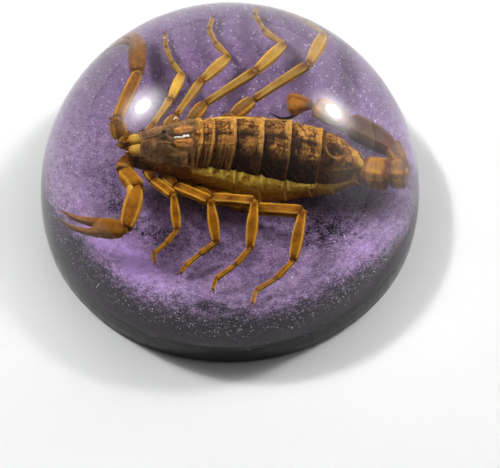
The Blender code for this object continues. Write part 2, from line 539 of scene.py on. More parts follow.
def plate(skin, outer, thickness, facing=UP, **paint):
    """A thin closed plate whose outside is this grid of points, thinned towards its rim."""
    rows, columns = outer.shape[:2]
    normal = unit(np.cross(np.gradient(outer, axis=0), np.gradient(outer, axis=1)))
    if (normal.reshape(-1, 3) @ np.array(facing)).mean() < 0:
        normal = -normal
    down = np.abs(np.linspace(-1, 1, rows))[:, None]
    across = np.abs(np.linspace(-1, 1, columns))[None]
    depth = thickness * (1 - 0.65 * np.maximum(down, across) ** 12)
    inner = outer - normal * depth[..., None]
    points = np.concatenate([outer.reshape(-1, 3), inner.reshape(-1, 3)])
    top = grid_faces(rows, columns, False)
    index = np.arange(rows * columns).reshape(rows, columns)
    rim = np.concatenate([index[0], index[1:, -1], index[-1, -2::-1], index[-2:0:-1, 0]])
    after = np.roll(rim, -1)
    edge = np.stack([after, rim, rim + rows * columns, after + rows * columns], -1)
    values = []
    for name in PAINTS:
        value = np.broadcast_to(paint.get(name, 0.0), (rows, columns)).ravel()
        values.append(np.concatenate([value, value]))
    skin.shell(points, [top, top[:, ::-1] + rows * columns, edge], np.array(values))


# ------------------------------------------------------------------ material kit


def set_sockets(tree, made, values):
    """Sets inputs to values or links them to outputs."""
    for name, value in values.items():
        if isinstance(value, bpy.types.NodeSocket):
            tree.links.new(value, made.inputs[name])
        else:
            made.inputs[name].default_value = value


def node(tree, kind, sockets=None, **settings):
    """Adds a node. sockets maps an input to a value or to the output that feeds it."""
    made = tree.nodes.new(kind)
    for name, value in settings.items():
        setattr(made, name, value)
    set_sockets(tree, made, sockets or {})
    return made


def maths(tree, operation, a, b=0.0, c=0.0, clamp=False):
    """One sum on numbers or sockets."""
    return node(tree, "ShaderNodeMath", {0: a, 1: b, 2: c}, operation=operation, use_clamp=clamp).outputs[0]


def mixed(tree, share, a, b, mode="MIX"):
    """Colour a turning into colour b by a share."""
    a, b = (value if isinstance(value, bpy.types.NodeSocket) else (*value, 1) for value in (a, b))
    return node(tree, "ShaderNodeMix", {0: share, 6: a, 7: b}, data_type="RGBA", blend_type=mode).outputs[2]


def spread(tree, value, low, high, to_low=0.0, to_high=1.0):
    """Stretches a value's range, smooth at both ends."""
    sockets = {"Value": value, "From Min": low, "From Max": high, "To Min": to_low, "To Max": to_high}
    return node(tree, "ShaderNodeMapRange", sockets, interpolation_type="SMOOTHSTEP").outputs[0]


def noise_at(tree, where, size, detail=3.0, rough=0.55):
    """Noise with lumps of this size in millimetres."""
    sockets = {"Vector": where, "Scale": 1 / (size * MM), "Detail": detail, "Roughness": rough}
    return node(tree, "ShaderNodeTexNoise", sockets).outputs["Fac"]


def cells_at(tree, where, size, output="Distance"):
    """Cells of this size in millimetres."""
    return node(tree, "ShaderNodeTexVoronoi", {"Vector": where, "Scale": 1 / (size * MM)}).outputs[output]


def nudged(tree, value, cloud, amount, clamp=False):
    """A value moved by a cloud that has its middle at 0.5."""
    return maths(tree, "MULTIPLY_ADD", maths(tree, "SUBTRACT", cloud, 0.5), amount, value, clamp)


def bump(tree, height, strength, depth):
    """Relief of this depth in millimetres."""
    sockets = {"Strength": strength, "Distance": depth * MM, "Height": height}
    return node(tree, "ShaderNodeBump", sockets).outputs[0]


def painted(tree, name):
    """One of the paints that Skin puts on the points."""
    return node(tree, "ShaderNodeAttribute", attribute_name=name).outputs["Fac"]


def new_material(name):
    """A material, its node tree, its shader, and coordinates fixed to the object."""
    material = bpy.data.materials.new(name)
    material.use_nodes = True
    tree = material.node_tree
    shader = tree.nodes["Principled BSDF"]
    where = node(tree, "ShaderNodeTexCoord").outputs["Object"]
    return material, tree, shader, where


# Kinds of cuticle: the light, deep, ridge and pale colours, the size and contrast of the blotches, then the
# size of the grit and the depth of its relief
CUTICLES = {
    "leg cuticle": ("gold", "amber", "keel_gold_and_highlight", "straw", 0.7, 1.0, 0.11, 0.02),
    # A lit copy of the leg cuticle for the far legs: painted light and reflected haze
    "lit far leg cuticle": ("lit_honey", "amber", "keel_gold_and_highlight", "straw", 0.9, 0.7, 0.11, 0.02),
    "back cuticle": ("tan", "brown", "rust", "sand", 0.8, 0.34, 0.13, 0.04),
    "head cuticle": ("clay", "cocoa", "rust", "ember", 0.9, 0.34, 0.13, 0.04),
    "belly cuticle": ("gold", "amber", "keel_gold_and_highlight", "straw", 1.6, 0.5, 0.3, 0.01),
    "tail cuticle": ("orange", "umber", "rust", "straw", 1.1, 0.6, 0.15, 0.03),
    "soft skin": ("butter", "tan", "amber", "cream", 0.5, 0.5, 0.2, 0.05),
}


def cuticle_colour(tree, colours, cloud, streak, fine, contrast):
    """Light, blotched with a deeper colour, with keels and pale skin where painted; both also carry painted
    highlights.
    """
    light, deep, ridge, pale = colours
    mottle = nudged(tree, painted(tree, "dark"), cloud, contrast * 2)
    mottle = nudged(tree, mottle, streak, contrast, True)
    colour = mixed(tree, mottle, light, deep)
    # Keels and rims take the ridge colour: rust on the back, head and tail, and on legs and claws a gold
    # that is partly painted highlight
    rim = maths(tree, "MULTIPLY", painted(tree, "ridge"), spread(tree, streak, 0.3, 0.6, 0.55, 1.0))
    colour = mixed(tree, rim, colour, ridge)
    worn = spread(tree, fine, 0.25, 0.6, 0.7, 1.0)
    # Pale skin, and the painted highlights that share its paint
    soft = maths(tree, "MULTIPLY", painted(tree, "pale"), worn, clamp=True)
    colour = mixed(tree, soft, colour, pale)
    shade = spread(tree, fine, 0.3, 0.7, 0.82, 1.12)
    grey = node(tree, "ShaderNodeCombineColor", {0: shade, 1: shade, 2: shade}).outputs[0]
    return mixed(tree, 1.0, colour, grey, "MULTIPLY")


def cuticle(name, animal):
    """Dried cuticle in resin, of one of the kinds in the table."""
    found = bpy.data.materials.get(name)
    if found:
        return found
    *names, blotch, contrast, grit, relief = CUTICLES[name]
    colours = [getattr(animal, colour) for colour in names]
    material, tree, shader, where = new_material(name)
    cloud = noise_at(tree, where, blotch, 4.0, 0.62)
    streak = noise_at(tree, where, blotch * 0.3, 3.0)
    fine = noise_at(tree, where, 0.07, 3.0)
    height = maths(tree, "MULTIPLY_ADD", cells_at(tree, where, grit), 0.6, fine)
    set_sockets(tree, shader, {
        "Base Color": cuticle_colour(tree, colours, cloud, streak, fine, contrast),
        "Roughness": spread(tree, fine, 0.3, 0.7, 0.35, 0.6),
        "Normal": bump(tree, height, 0.5, relief),
        "Specular IOR Level": 0.03,
        "Subsurface Weight": 0.12,
        "Subsurface Radius": (1.0, 0.45, 0.15),
        "Subsurface Scale": 0.4 * MM,
    })
    return material


def horn_black(animal):
    """Eyes and sting: smooth, black and wet."""
    material, tree, shader, where = new_material("black horn")
    cloud = noise_at(tree, where, 0.1)
    set_sockets(tree, shader, {
        "Base Color": mixed(tree, cloud, animal.pitch, animal.horn),
        "Roughness": spread(tree, cloud, 0.3, 0.7, 0.05, 0.2),
    })
    return material


def clear_resin(resin):
    """Clear polished resin. Its faint waviness is in the bump, its tint in plain absorption."""
    material, tree, shader, where = new_material("clear resin")
    wave = noise_at(tree, where, 9.0, 1.0)
    set_sockets(tree, shader, {
        "Base Color": (1, 1, 1, 1),
        "Roughness": 0.0,
        "IOR": resin.refraction,
        "Transmission Weight": 1.0,
        "Specular Tint": (0.65, 0.65, 0.65, 1),
        "Normal": bump(tree, wave, 0.03, 0.02),
    })
    sockets = {"Color": (*resin.tint, 1), "Density": resin.absorption}
    tint = node(tree, "ShaderNodeVolumeAbsorption", sockets)
    tree.links.new(tint.outputs[0], tree.nodes["Material Output"].inputs["Volume"])
    return material


def glitter_colour(tree, where, glitter):
    """Lilac and violet glitter in clumps. It goes black near the rim, partly where the glitter thins and
    partly as painted shade, and in the thin places and painted shadows; it takes the painted caustic colour
    where focused lamp light is painted.
    """
    drift = noise_at(tree, where, 5.0, 3.0)
    even = painted(tree, "ridge")
    calm = maths(tree, "MULTIPLY_ADD", even, -0.6, 1.0)
    clump = nudged(tree, 0.5, noise_at(tree, where, 0.9, 4.0, 0.62), calm)
    pick = node(tree, "ShaderNodeSeparateColor", {0: cells_at(tree, where, 0.17, "Color")}).outputs[0]
    depth = maths(tree, "MULTIPLY_ADD", clump, 0.9, maths(tree, "MULTIPLY", drift, 0.35))
    depth = nudged(tree, depth, pick, maths(tree, "MULTIPLY", calm, 0.19))
    depth = maths(tree, "MULTIPLY_ADD", even, 0.09, depth)
    colour = mixed(tree, spread(tree, depth, 0.32, 1.05), glitter.lilac, glitter.violet)
    # Partly silver grains, partly painted glints: a few grains mixed towards silver to stand for the lamps'
    # glints
    silver_and_glint = spread(tree, pick, 0.95, 0.99)
    colour = mixed(tree, maths(tree, "MULTIPLY", silver_and_glint, 0.5), colour, glitter.silver)
    # Painted caustic light: mixed in where the pale paint holds it
    painted_caustic = spread(tree, nudged(tree, painted(tree, "pale"), clump, -0.9), 0.0, 1.0)
    colour = mixed(tree, maths(tree, "MULTIPLY", painted_caustic, 0.75), colour, glitter.painted_caustic)
    # Black where the glitter is thin and where shade is painted
    bare_and_shade = nudged(tree, painted(tree, "dark"), pick, maths(tree, "MULTIPLY", calm, 0.5))
    bare_and_shade = spread(tree, nudged(tree, bare_and_shade, clump, 0.75), 0.05, 0.92)
    return mixed(tree, bare_and_shade, colour, glitter.bare_and_shade), pick, bare_and_shade


def glitter_bed_finish(glitter):
    """The bed under the loose flakes: coloured grains, some of them foil."""
    material, tree, shader, where = new_material("glitter bed")
    colour, pick, bare_and_shade = glitter_colour(tree, where, glitter)
    shine = spread(tree, pick, 0.8, 0.95, 0.1, 0.7)
    foil = maths(tree, "MULTIPLY", shine, maths(tree, "SUBTRACT", 1.0, bare_and_shade))
    set_sockets(tree, shader, {
        "Base Color": colour,
        "Metallic": foil,
        "Roughness": spread(tree, pick, 0.0, 1.0, 0.65, 0.4),
        "Specular IOR Level": 0.03,
        "Normal": bump(tree, pick, 0.45, 0.05),
    })
    return material


def flake_finish(name, light, deep, caustic_tint, metal):
    """Foil flakes, each with its own depth of colour in the dark paint, and turned towards the painted
    caustic colour where focused lamp light is painted.
    """
    material, tree, shader, where = new_material(name)
    fine = noise_at(tree, where, 0.1)
    colour = mixed(tree, painted(tree, "dark"), light, deep)
    # Painted caustic light: drift here holds the painted light, which turns the flakes towards caustic_tint
    drift = maths(tree, "MULTIPLY", painted(tree, "pale"), 0.6, clamp=True)
    set_sockets(tree, shader, {
        "Base Color": mixed(tree, drift, colour, caustic_tint),
        "Metallic": metal,
        "Roughness": spread(tree, fine, 0.3, 0.7, 0.22, 0.4),
    })
    return material


def black_resin(resin):
    """Polished black resin with a faint cloud and hair-fine wear."""
    material, tree, shader, where = new_material("black resin")
    cloud = noise_at(tree, where, 6.0)
    wear = noise_at(tree, where, 0.5, 5.0, 0.7)
    set_sockets(tree, shader, {
        "Base Color": mixed(tree, cloud, resin.black, resin.cloud),
        "Roughness": spread(tree, wear, 0.3, 0.8, 0.06, 0.16),
        "Specular IOR Level": 0.3,
        "Normal": bump(tree, wear, 0.05, 0.03),
    })
    return material


def air_film_glint(resin):
    """Painted glint: a film of air on the shell, painted near white to stand for the light it reflects
    through the resin.
    """
    material, tree, shader, where = new_material("air film glint")
    cloud = noise_at(tree, where, 0.15)
    set_sockets(tree, shader, {
        "Base Color": mixed(tree, cloud, resin.air, resin.air_shade),
        "Roughness": spread(tree, cloud, 0.3, 0.7, 0.1, 0.3),
    })
    return material


# ------------------------------------------------------------------ resin, glitter and base


def sphere_line(top, bottom, steps):
    """(radius, height) points down the dome's outside, from one height to another."""
    high = math.asin((top - DOME_CENTRE) / DOME_RADIUS)
    low = math.asin((bottom - DOME_CENTRE) / DOME_RADIUS)
    angles = np.linspace(high, low, steps)
    return [(DOME_RADIUS * math.cos(a), DOME_CENTRE + DOME_RADIUS * math.sin(a)) for a in angles]


# Gap between two pours, resin left outside the glitter, and the smallest ring, which stands for the axis
SEAM = 0.008
GLASS_SKIN = 0.03
AXIS = 0.001

# Room under the pour's top for the lumps of the bed and for the lowest flakes, and how far out flakes lie
BED_ROOM = 0.1
FLAKE_ROOM = 0.06
FLAKE_REACH = 30.2


def build_dome(resin):
    """The clear pour. It reaches down round the glitter bed, so that no air lies between them."""
    skin = Skin()
    floor = BASE_TOP + SEAM
    outside = sphere_line(DOME_HIGH, floor, 110)
    outside[0] = (AXIS, DOME_HIGH)
    radius, height = np.array(outside + [(outside[-1][0] * 0.5, floor), (AXIS, floor)]).T
    loft(skin, turned_rings(radius, height, 216))
    dome = skin.piece("resin_dome", clear_resin(resin), sharp=40)
    dome.visible_shadow = False
    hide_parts("clear_dome")


def patches(table, x, y):
    """The long soft patches of a table, added up at each place."""
    total = np.zeros_like(x)
    for centre_x, centre_y, long, wide, direction, strength in table:
        cos, sin = math.cos(math.radians(direction)), math.sin(math.radians(direction))
        along = (x - centre_x) * cos + (y - centre_y) * sin
        across = (y - centre_y) * cos - (x - centre_x) * sin
        total += strength * hump(along, 0, long) * hump(across, 0, wide)
    return total


def level(x, y):
    """These places with height 0."""
    return np.stack([x, y, np.zeros_like(x)], -1)


def bareness_and_shade(x, y):
    """How black the bed is painted at each place: 0 full glitter, 1 black. It is thin glitter and painted
    shade towards the rim, thin glitter in the spots where the black pour shows, and painted shade in the
    shadow patches.
    """
    at = level(x, y)
    ragged = 1.3 * grain(at, 3.5, 5) + 0.9 * grain(at, 1.4, 6)
    turn, out = np.degrees(np.arctan2(y, x)), np.hypot(x, y)
    bare_and_shade = fade(-9.5, 0.5, out + ragged - flowing(GLITTER_REACH, turn))
    # Painted caustic light leaves less black
    bare_and_shade = bare_and_shade * (1 - 0.7 * np.clip(patches(PAINTED_CAUSTICS, x, y), 0, 1))
    # Painted shadows of the body and legs
    bare_and_shade = np.maximum(bare_and_shade, patches(PAINTED_SHADOWS, x, y) * (1 + 0.4 * grain(at, 1.6, 7)))
    # Painted shade at the left rim
    bare_and_shade = np.maximum(bare_and_shade, 0.45 * hump(turn, -158, 16) * fade(17.5, 22, out))
    for spot_x, spot_y, radius in BARE_SPOTS:
        gap = np.hypot(x - spot_x, y - spot_y) + ragged
        bare_and_shade = np.maximum(bare_and_shade, 0.85 * (1 - fade(0.1 * radius, 2.0 * radius, gap)))
    return bare_and_shade


def evenness(y):
    """How smooth and deep the glitter lies: the far side is evener than the near one."""
    return fade(4.0, 12.0, y)


def painted_caustic_light(x, y):
    """Painted caustic light: where the lamps' light that the dome focuses is painted onto the bed as
    thicker, lighter glitter.
    """
    at = level(x, y)
    return patches(PAINTED_CAUSTICS, x, y) * (1 + 0.8 * grain(at, 1.7, 8))


def bed_height(x, y, lump):
    """The bed's lumpy top."""
    at = level(x, y)
    return BED_TOP - BED_ROOM + lump * (0.8 * grain(at, 1.6, 1) + 0.4 * grain(at, 0.5, 2))


def build_bed(glitter):
    """The glitter pour: a disc with a lumpy top, inside a thin skin of resin."""
    skin = Skin()
    top, bottom = (place[0] - GLASS_SKIN for place in sphere_line(BED_TOP, BASE_TOP + 2 * SEAM, 2))
    radius = np.concatenate([np.linspace(0.05, top, 90), [bottom, bottom * 0.5, 0.05]])
    turn = np.linspace(0, 2 * np.pi, 240, endpoint=False)
    x = radius[:, None] * np.cos(turn)
    y = radius[:, None] * np.sin(turn)
    z = bed_height(x, y, glitter.lump / MM)
    z[-3:] = BASE_TOP + 2 * SEAM
    loft(skin, np.stack([x, y, z], -1), ridge=evenness(y), dark=bareness_and_shade(x, y), pale=painted_caustic_light(x, y))
    bed = skin.piece("glitter_bed", glitter_bed_finish(glitter), sharp=60)
    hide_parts("glitter_layer")


# A flake of width 2, and how far flakes tilt
FLAKE_CORNERS = np.array([(1, 0, 0.06), (-1, 0, 0.06), (0, 0.85, -0.06), (0, -0.85, -0.06)])
FLAKE_TILT = math.radians(15)


def turned_flakes(draw, count):
    """Flat four-cornered flakes of width 2 round the origin, each turned and tilted its own way."""
    spin = 2 * np.pi * draw.random(count)
    tilt = FLAKE_TILT * draw.standard_normal((2, count))
    cos, sin = np.cos(spin)[:, None], np.sin(spin)[:, None]
    u = FLAKE_CORNERS[:, 0] * cos - FLAKE_CORNERS[:, 1] * sin
    v = FLAKE_CORNERS[:, 0] * sin + FLAKE_CORNERS[:, 1] * cos
    w = FLAKE_CORNERS[:, 2] + u * tilt[0][:, None] + v * tilt[1][:, None]
    return np.stack([u, v, w], -1)


def flake_depth(x, y, loose):
    """Depth of each flake's colour, from its own loose share, its clump, and how thin the glitter and how
    deep the painted shade are at its place.
    """
    bare_and_shade, even = bareness_and_shade(x, y), evenness(y)
    clump = 0.5 + 0.9 * (1 - 0.5 * even) * grain(level(x, y), 1.1, 9)
    depth = 0.45 * (loose + (0.6 - loose) * (0.2 + 0.5 * even)) + 0.55 * clump + 0.7 * bare_and_shade
    return np.clip(depth * (1 - 0.8 * fade(0.7, 1.0, bare_and_shade)), 0, 1)


def scatter_flakes(count, width, lift, stray, sunk, seed):
    """Flakes that lie nearly level on the bed, and the depth of each one's colour.

    lift is how high a few of them float, stray the share of them kept in thin places and painted shadows,
    and sunk the share missing where the glitter lies even.
    """
    draw = np.random.default_rng(seed)
    radius = FLAKE_REACH * np.sqrt(draw.random(count))
    turn = 2 * np.pi * draw.random(count)
    x, y = radius * np.cos(turn), radius * np.sin(turn)
    rim = fade(26.5, 29.0, np.hypot(x, y))
    kept = draw.random(count) > bareness_and_shade(x, y) * (1 - stray * (1 - rim))
    kept = kept & (draw.random(count) > sunk * evenness(y))
    x, y = x[kept], y[kept]
    z = BED_TOP - FLAKE_ROOM + lift * draw.random(len(x)) ** 6
    size = width * draw.uniform(0.45, 1.25, len(x))
    shapes = turned_flakes(draw, len(x)) * (size / 2)[:, None, None]
    points = np.stack([x, y, z], -1)[:, None] + shapes
    return points, flake_depth(x, y, draw.random(len(x)))


def build_flakes(name, finish, count, width, **spread_out):
    """One piece of loose flakes, each its own closed shape."""
    points, depth = scatter_flakes(count, width, **spread_out)
    count = len(depth)
    faces = np.array([(0, 1, 2), (0, 3, 1), (2, 3, 0), (3, 2, 1)])
    paint = np.zeros((len(PAINTS), count * 4))
    paint[PAINTS.index("dark")] = np.repeat(depth, 4)
    paint[PAINTS.index("pale")] = np.repeat(painted_caustic_light(points[:, 0, 0], points[:, 0, 1]), 4)
    skin = Skin()
    first = 4 * np.arange(count)[:, None, None]
    skin.shell(points.reshape(-1, 3), [(first + faces).reshape(-1, 3)], paint)
    return skin.piece(name, finish, sharp=10)


# ------------------------------------------------------------------ trunk


def back_height(x, t):
    """Height of the back at x, with t from -1 at its left edge to 1 at its right."""
    edge, crest = flowing(BACK_EDGE, x), flowing(BACK_CREST, x)
    return edge + (crest - edge) * (1 - np.abs(t) ** 2.4)


def plate_grid(rows, columns):
    """Shares down and across a plate, t from -1 to 1, drawn closer at the sides."""
    s = np.linspace(0, 1, rows)[:, None] * np.ones(columns)
    across = np.sin(np.linspace(-1, 1, columns) * np.pi / 2 * 0.98) / math.sin(np.pi / 2 * 0.98)
    return s, np.ones(rows)[:, None] * across


# How far a back plate reaches under the one before it, and where its side keels run
TERGITE_OVERLAP = 0.45
LATERAL_KEEL = 0.36

# Plates up to these numbers have a narrow golden margin, and ribs. The thin lines of the margin are given by
# their distance from the hind edge and their strength.
NARROW_MARGINS = 2
RIBBED_PLATES = 3
LAST_PLATE = 7
MARGIN_LINES = ((0.08, 1.0), (0.29, 0.75), (0.52, 0.35))


def tergite_keels(number, s, t):
    """Share of keel at each place: three run down a back plate, five down the last."""
    run = fade(0.3, 0.5, s) * (1 - fade(0.93, 1.0, s))
    if number == LAST_PLATE:
        inner = hump(np.abs(t), 0.30 + 0.10 * s, 0.035)
        outer = hump(np.abs(t), 0.72 - 0.05 * s, 0.035)
        middle = hump(t, 0, 0.05) * (1 - fade(0.35, 0.5, s))
        return np.clip((inner + outer) * run + middle * fade(0.1, 0.2, s), 0, 1)
    side = hump(np.abs(t), LATERAL_KEEL + 0.04 * s, 0.03) * run
    middle = hump(t, 0, 0.035) * fade(0.2, 0.35, s) * (1 - fade(0.9, 1.0, s))
    return np.clip(side + middle, 0, 1)


def hind_margin(g):
    """The golden hind margin: a broad ragged band on the right, thin lines on the back, one at the left."""
    far, near = fade(0.0, 0.28, g.t), fade(0.4, 0.7, -g.t)
    wide, strength = (0.72, 1) if g.number > NARROW_MARGINS else (0.4, 0.6)
    band = far * (1 - fade(wide - 0.12, wide + 0.12, g.back + 1.8 * g.wave)) * strength
    lines = sum(share * hump(g.back + g.wave, place, 0.045) for place, share in MARGIN_LINES)
    left = 0.4 * near * hump(g.back, 0.08, 0.06)
    return np.clip(band + lines * (1 - 0.9 * far) * (1 - near) + left, 0, 1)


def tergite_ground(number):
    """The grid of one back plate, with the noise that its marks, relief and paint share.

    s runs from front to back, and t from -1 at the left edge to 1 at the right. far is the right side, near
    the left one, and back the distance in front of the hind edge.
    """
    start, end = BACK_JOINTS[number - 1] - TERGITE_OVERLAP, BACK_JOINTS[number]
    g = SimpleNamespace(number=number, length=end - start, ribbed=number <= RIBBED_PLATES)
    g.s, g.t = plate_grid(26 + int(13 * g.length), 144)
    x = start + g.length * g.s - (0.4 + 0.45 * (g.t < 0)) * np.abs(g.t) ** 2.6
    y = flowing(MIDDLE, x) + g.t * flowing(BACK_HALF, x) * (1 - 0.03 * (1 - g.s))
    g.at = np.stack([x, y, back_height(x, g.t)], -1)
    g.rough, g.fine = grain(g.at, 0.45, number), grain(g.at, 0.16, number + 9)
    g.lines = grain(g.at * (2.2, 0.45, 0.45), 0.5, number + 50)
    g.back, g.wave = g.length * (1 - g.s), 0.13 * grain(g.at, 0.8, number + 70)
    g.far, g.near = fade(0.0, 0.25, g.t), fade(0.35, 0.7, -g.t)
    g.middle = (1 - g.far) * (1 - g.near)
    g.behind = fade(0.14, 0.30, g.s)
    return g


def mark_tergite(g):
    """Adds the crazing, hind margin, keels, ribs and outer rim to a back plate's ground."""
    bent = g.at + 0.12 * np.stack([g.rough, g.fine, g.rough], -1)
    border, g.share = cells(bent, 0.78, g.number + 20)
    g.crack = hump(border, 0, 0.12) * g.behind * (g.far + 0.45 * g.middle + 0.1 * g.near)
    g.bank = hump(border, 0.24, 0.08) * g.behind
    g.margin = hind_margin(g) * np.clip(0.78 + 1.0 * g.rough + 0.7 * g.fine + 0.1 * g.far, 0, 1)
    g.keels = tergite_keels(g.number, g.s, g.t) * np.clip(0.6 + 1.3 * g.rough, 0, 1)
    rib = hump((g.back + 0.8 * g.wave) % 0.46, 0.23, 0.06) * g.ribbed * g.behind
    g.rib = rib * (1 - 0.5 * g.far) * (0.8 + g.lines)
    g.rim = fade(0.84, 0.98, g.t)
    g.streak = hump(g.t, -0.01, 0.035 + 0.011 * g.number) * g.behind * (1 - fade(0.8, 0.88, g.s))


def tergite_rise(g, keel):
    """How far each place of a back plate rises over the smooth back."""
    tuck = (-0.24 * (1 - fade(0.0, 0.3, g.s)) + 0.16 * (1 - fade(0.25, 0.6, g.back))) * (1 - 0.5 * g.near)
    relief = tuck - 0.07 * hump(g.s, 0.30, 0.05) - 0.13 * g.crack + 0.05 * g.bank * (1 - g.near)
    relief = relief + 0.05 * g.lines * g.behind
    relief = relief + 0.05 * g.margin + 0.06 * g.rib
    relief = relief + (0.04 * g.rough + 0.04 * np.maximum(g.fine, 0)) * g.behind * (1 - g.near)
    height = keel * g.keels * (1 + 0.6 * g.fine)
    return (relief + height) * (1 - 0.7 * g.rim)


def tergite_paint(g):
    """How dark and how golden each place of a back plate is. Its darkness on the left and at the front is
    painted shade, and its gold on the right is partly painted light.
    """
    long = g.length > 3
    # Painted shade: each plate is darker at its front, where it lies under the plate before it, and on its
    # left side, away from the lamps
    front = 1 - fade(0.13 + 0.2 * long, 0.22 + 0.28 * long, g.s + 0.05 * g.wave)
    dark = 0.41 + 0.45 * front * (1 - 0.5 * g.far) * (1 - 0.8 * g.near) + 0.9 * g.streak + 0.52 * g.near
    dark = dark + 0.85 * g.crack
    dark = dark - 0.8 * g.share * (g.far + 0.5 * g.middle)
    dark = dark + 0.25 * g.lines * (1 - g.far) * (1 - 0.5 * g.near) + 0.12 * g.rough
    dark = dark - (0.34 - 0.1 * g.near) * g.ribbed
    # The gold on the right is partly the cuticle's crazing and partly painted light on the side that faces
    # the lamps
    gold = g.far * (0.4 + 1.4 * g.share + 0.35 * g.bank)
    gold = gold + g.middle * (0.05 + 1.0 * g.share + 0.5 * g.bank * (0.5 + g.rough))
    gold = np.clip(gold, 0, 1) * g.behind * (1 - 0.6 * front) + 0.5 * g.keels * (np.abs(g.t) > 0.1)
    left_edge = hump(g.t + 0.965 - 0.15 * (1 - fade(0.1, 0.5, g.s)), 0, 0.016)
    left_edge = left_edge * g.behind * (1 - fade(0.45, 0.65, g.s))
    gold = gold * (1 - 0.35 * g.ribbed) + 0.5 * g.rib * (1 - 0.4 * g.near) + 0.1 * left_edge
    return dark + 0.35 * g.rim, gold


def last_plate_paint(g, dark, gold):
    """The last back plate's own marks: a dark patch in a golden arc, and bands along the outer keels."""
    patch = hump(g.s, 0.43, 0.17) * hump(g.t, 0.05, 0.22)
    arc = hump(np.hypot((g.s - 0.43) / 0.2, (g.t - 0.05) / 0.3), 1.2, 0.12) * (g.t < 0.05)
    band = hump(g.t, 0.78 - 0.3 * g.s, 0.15) * fade(0.12, 0.22, g.s)
    dark = dark + 0.8 * patch - 0.9 * g.streak - 0.3 * g.near - 0.3 * band
    return dark, 0.5 * gold * (1 - patch) + 0.6 * arc + 0.55 * band * (0.9 + 0.6 * g.share)


def build_tergite(number, animal):
    """One back plate: crazed and golden on the right, where the gold is partly painted light; darker and
    smooth on the left, where the darkness is painted shade; ribbed near the head.
    """
    g = tergite_ground(number)
    mark_tergite(g)
    rise = tergite_rise(g, animal.keel / MM)
    points = g.at + np.stack([np.zeros_like(rise), 0.5 * rise * g.t, rise], -1)
    dark, gold = tergite_paint(g)
    if number == LAST_PLATE:
        dark, gold = last_plate_paint(g, dark, gold)
    ridge = g.crack * (0.6 * g.far + 0.3 * g.middle)
    dark = np.clip(dark, 0, 1.2) * (1 - g.margin)
    pale = np.clip(g.margin + gold * (1 - g.crack) * (1 - 0.8 * g.streak), 0, 1) * (1 - 0.55 * g.rim)
    skin = Skin()
    plate(skin, points, animal.plate / MM, ridge=ridge, dark=dark, pale=pale)
    skin.piece(f"tergite_{number}", cuticle("back cuticle", animal), sharp=60)


# Shares down a side, from the middle of the back to the middle of the belly, where belly_ring has its stops
BELLY_SHARES = np.array([0.0, 0.14, 0.30, 0.42, 0.54, 0.66, 0.80, 1.0])


def belly_ring(x, around):
    """A ring of the soft body at each x. around runs from 0, middle of the back, by the left side to 1."""
    edge, half = flowing(BACK_EDGE, np.maximum(x, BACK_JOINTS[0])), flowing(BELLY_HALF, x)
    cover = np.where(x < BACK_JOINTS[0], half, flowing(BACK_HALF, np.maximum(x, BACK_JOINTS[0])))
    widest, low = flowing(BELLY_WIDEST, x), flowing(BELLY_LOW, x)
    across = [
        0.0 * cover, cover * 0.55, cover * 0.92, (cover + half) / 2 + 0.05,
        half, half * 0.93, half * 0.62, 0.0 * half,
    ]
    height = [
        edge + 0.5, edge + 0.4, edge - 0.05, (edge + widest) / 2 + 0.15,
        widest, (widest + low) / 2 - 0.1, low + 0.05, low,
    ]
    side = np.where(around < 0.5, -1.0, 1.0)
    down = 1 - np.abs(1 - 2 * around)
    y = flowing(MIDDLE, x) + side * through(BELLY_SHARES, across, down)
    return y, through(BELLY_SHARES, height, down)


# The soft body: its first and last ring, where its rounded ends would close, and its deep folds
FLANK_SPAN = (-10.6, 16.1)
FLANK_ENDS = (-10.9, 16.4)
FLANK_FOLDS = (-2.1, 0.6, 3.9, 7.0, 10.1, 12.9)


def flank_ground():
    """The rings of the soft body, with the noise and the marks that its relief and its paint share."""
    g = SimpleNamespace(x=np.linspace(*FLANK_SPAN, 230)[:, None])
    around = np.linspace(0, 1, 152, endpoint=False)[None]
    y, z = belly_ring(g.x, around)
    g.ring = np.stack([np.broadcast_to(g.x, y.shape), y, z], -1)
    g.down = 1 - np.abs(1 - 2 * around)
    g.front = 1 - fade(-5.5, -3.5, g.x)
    band = hump(g.down, 0.34, 0.11) * (1 - fade(0.40, 0.47, g.down)) * fade(-5, -3.5, g.x)
    g.band = band * (1 - 0.75 * fade(10.2, 11.4, g.x)) * np.where(around < 0.5, 1.0, 0.3)
    g.pinch = sum(hump(g.x, joint + 0.15, 0.16) for joint in BACK_JOINTS[1:-1])
    g.creases = grain(g.ring * (1.0, 0.5, 0.7), 0.5, 4) + 0.4 * grain(g.ring, 0.2, 5)
    border, g.share = cells(g.ring * (0.6, 1.0, 1.0) + 0.15 * g.creases[..., None], 0.42, 6)
    g.net = hump(border, 0, 0.16)
    g.folds = sum(hump(g.x + 0.12 * g.creases, joint, 0.13) for joint in FLANK_FOLDS)
    return g


def creased_flank(g):
    """The rings with their creases, folds and pinches, rounded off at both ends."""
    core = g.ring.mean(1, keepdims=True)
    lift = g.band * (0.16 * g.creases + 0.16 + 0.12 * g.net + 0.2 * g.folds) - 0.2 * g.pinch * g.band
    lift = lift + g.front * (0.16 * g.creases - 0.12 * g.net) * hump(g.down, 0.45, 0.25)
    ends = np.clip(np.minimum(g.x - FLANK_ENDS[0], FLANK_ENDS[1] - g.x) / 0.9, 0.05, 1) ** 0.5
    return core + (g.ring - core) * ends[..., None] + unit(g.ring - core) * lift[..., None]


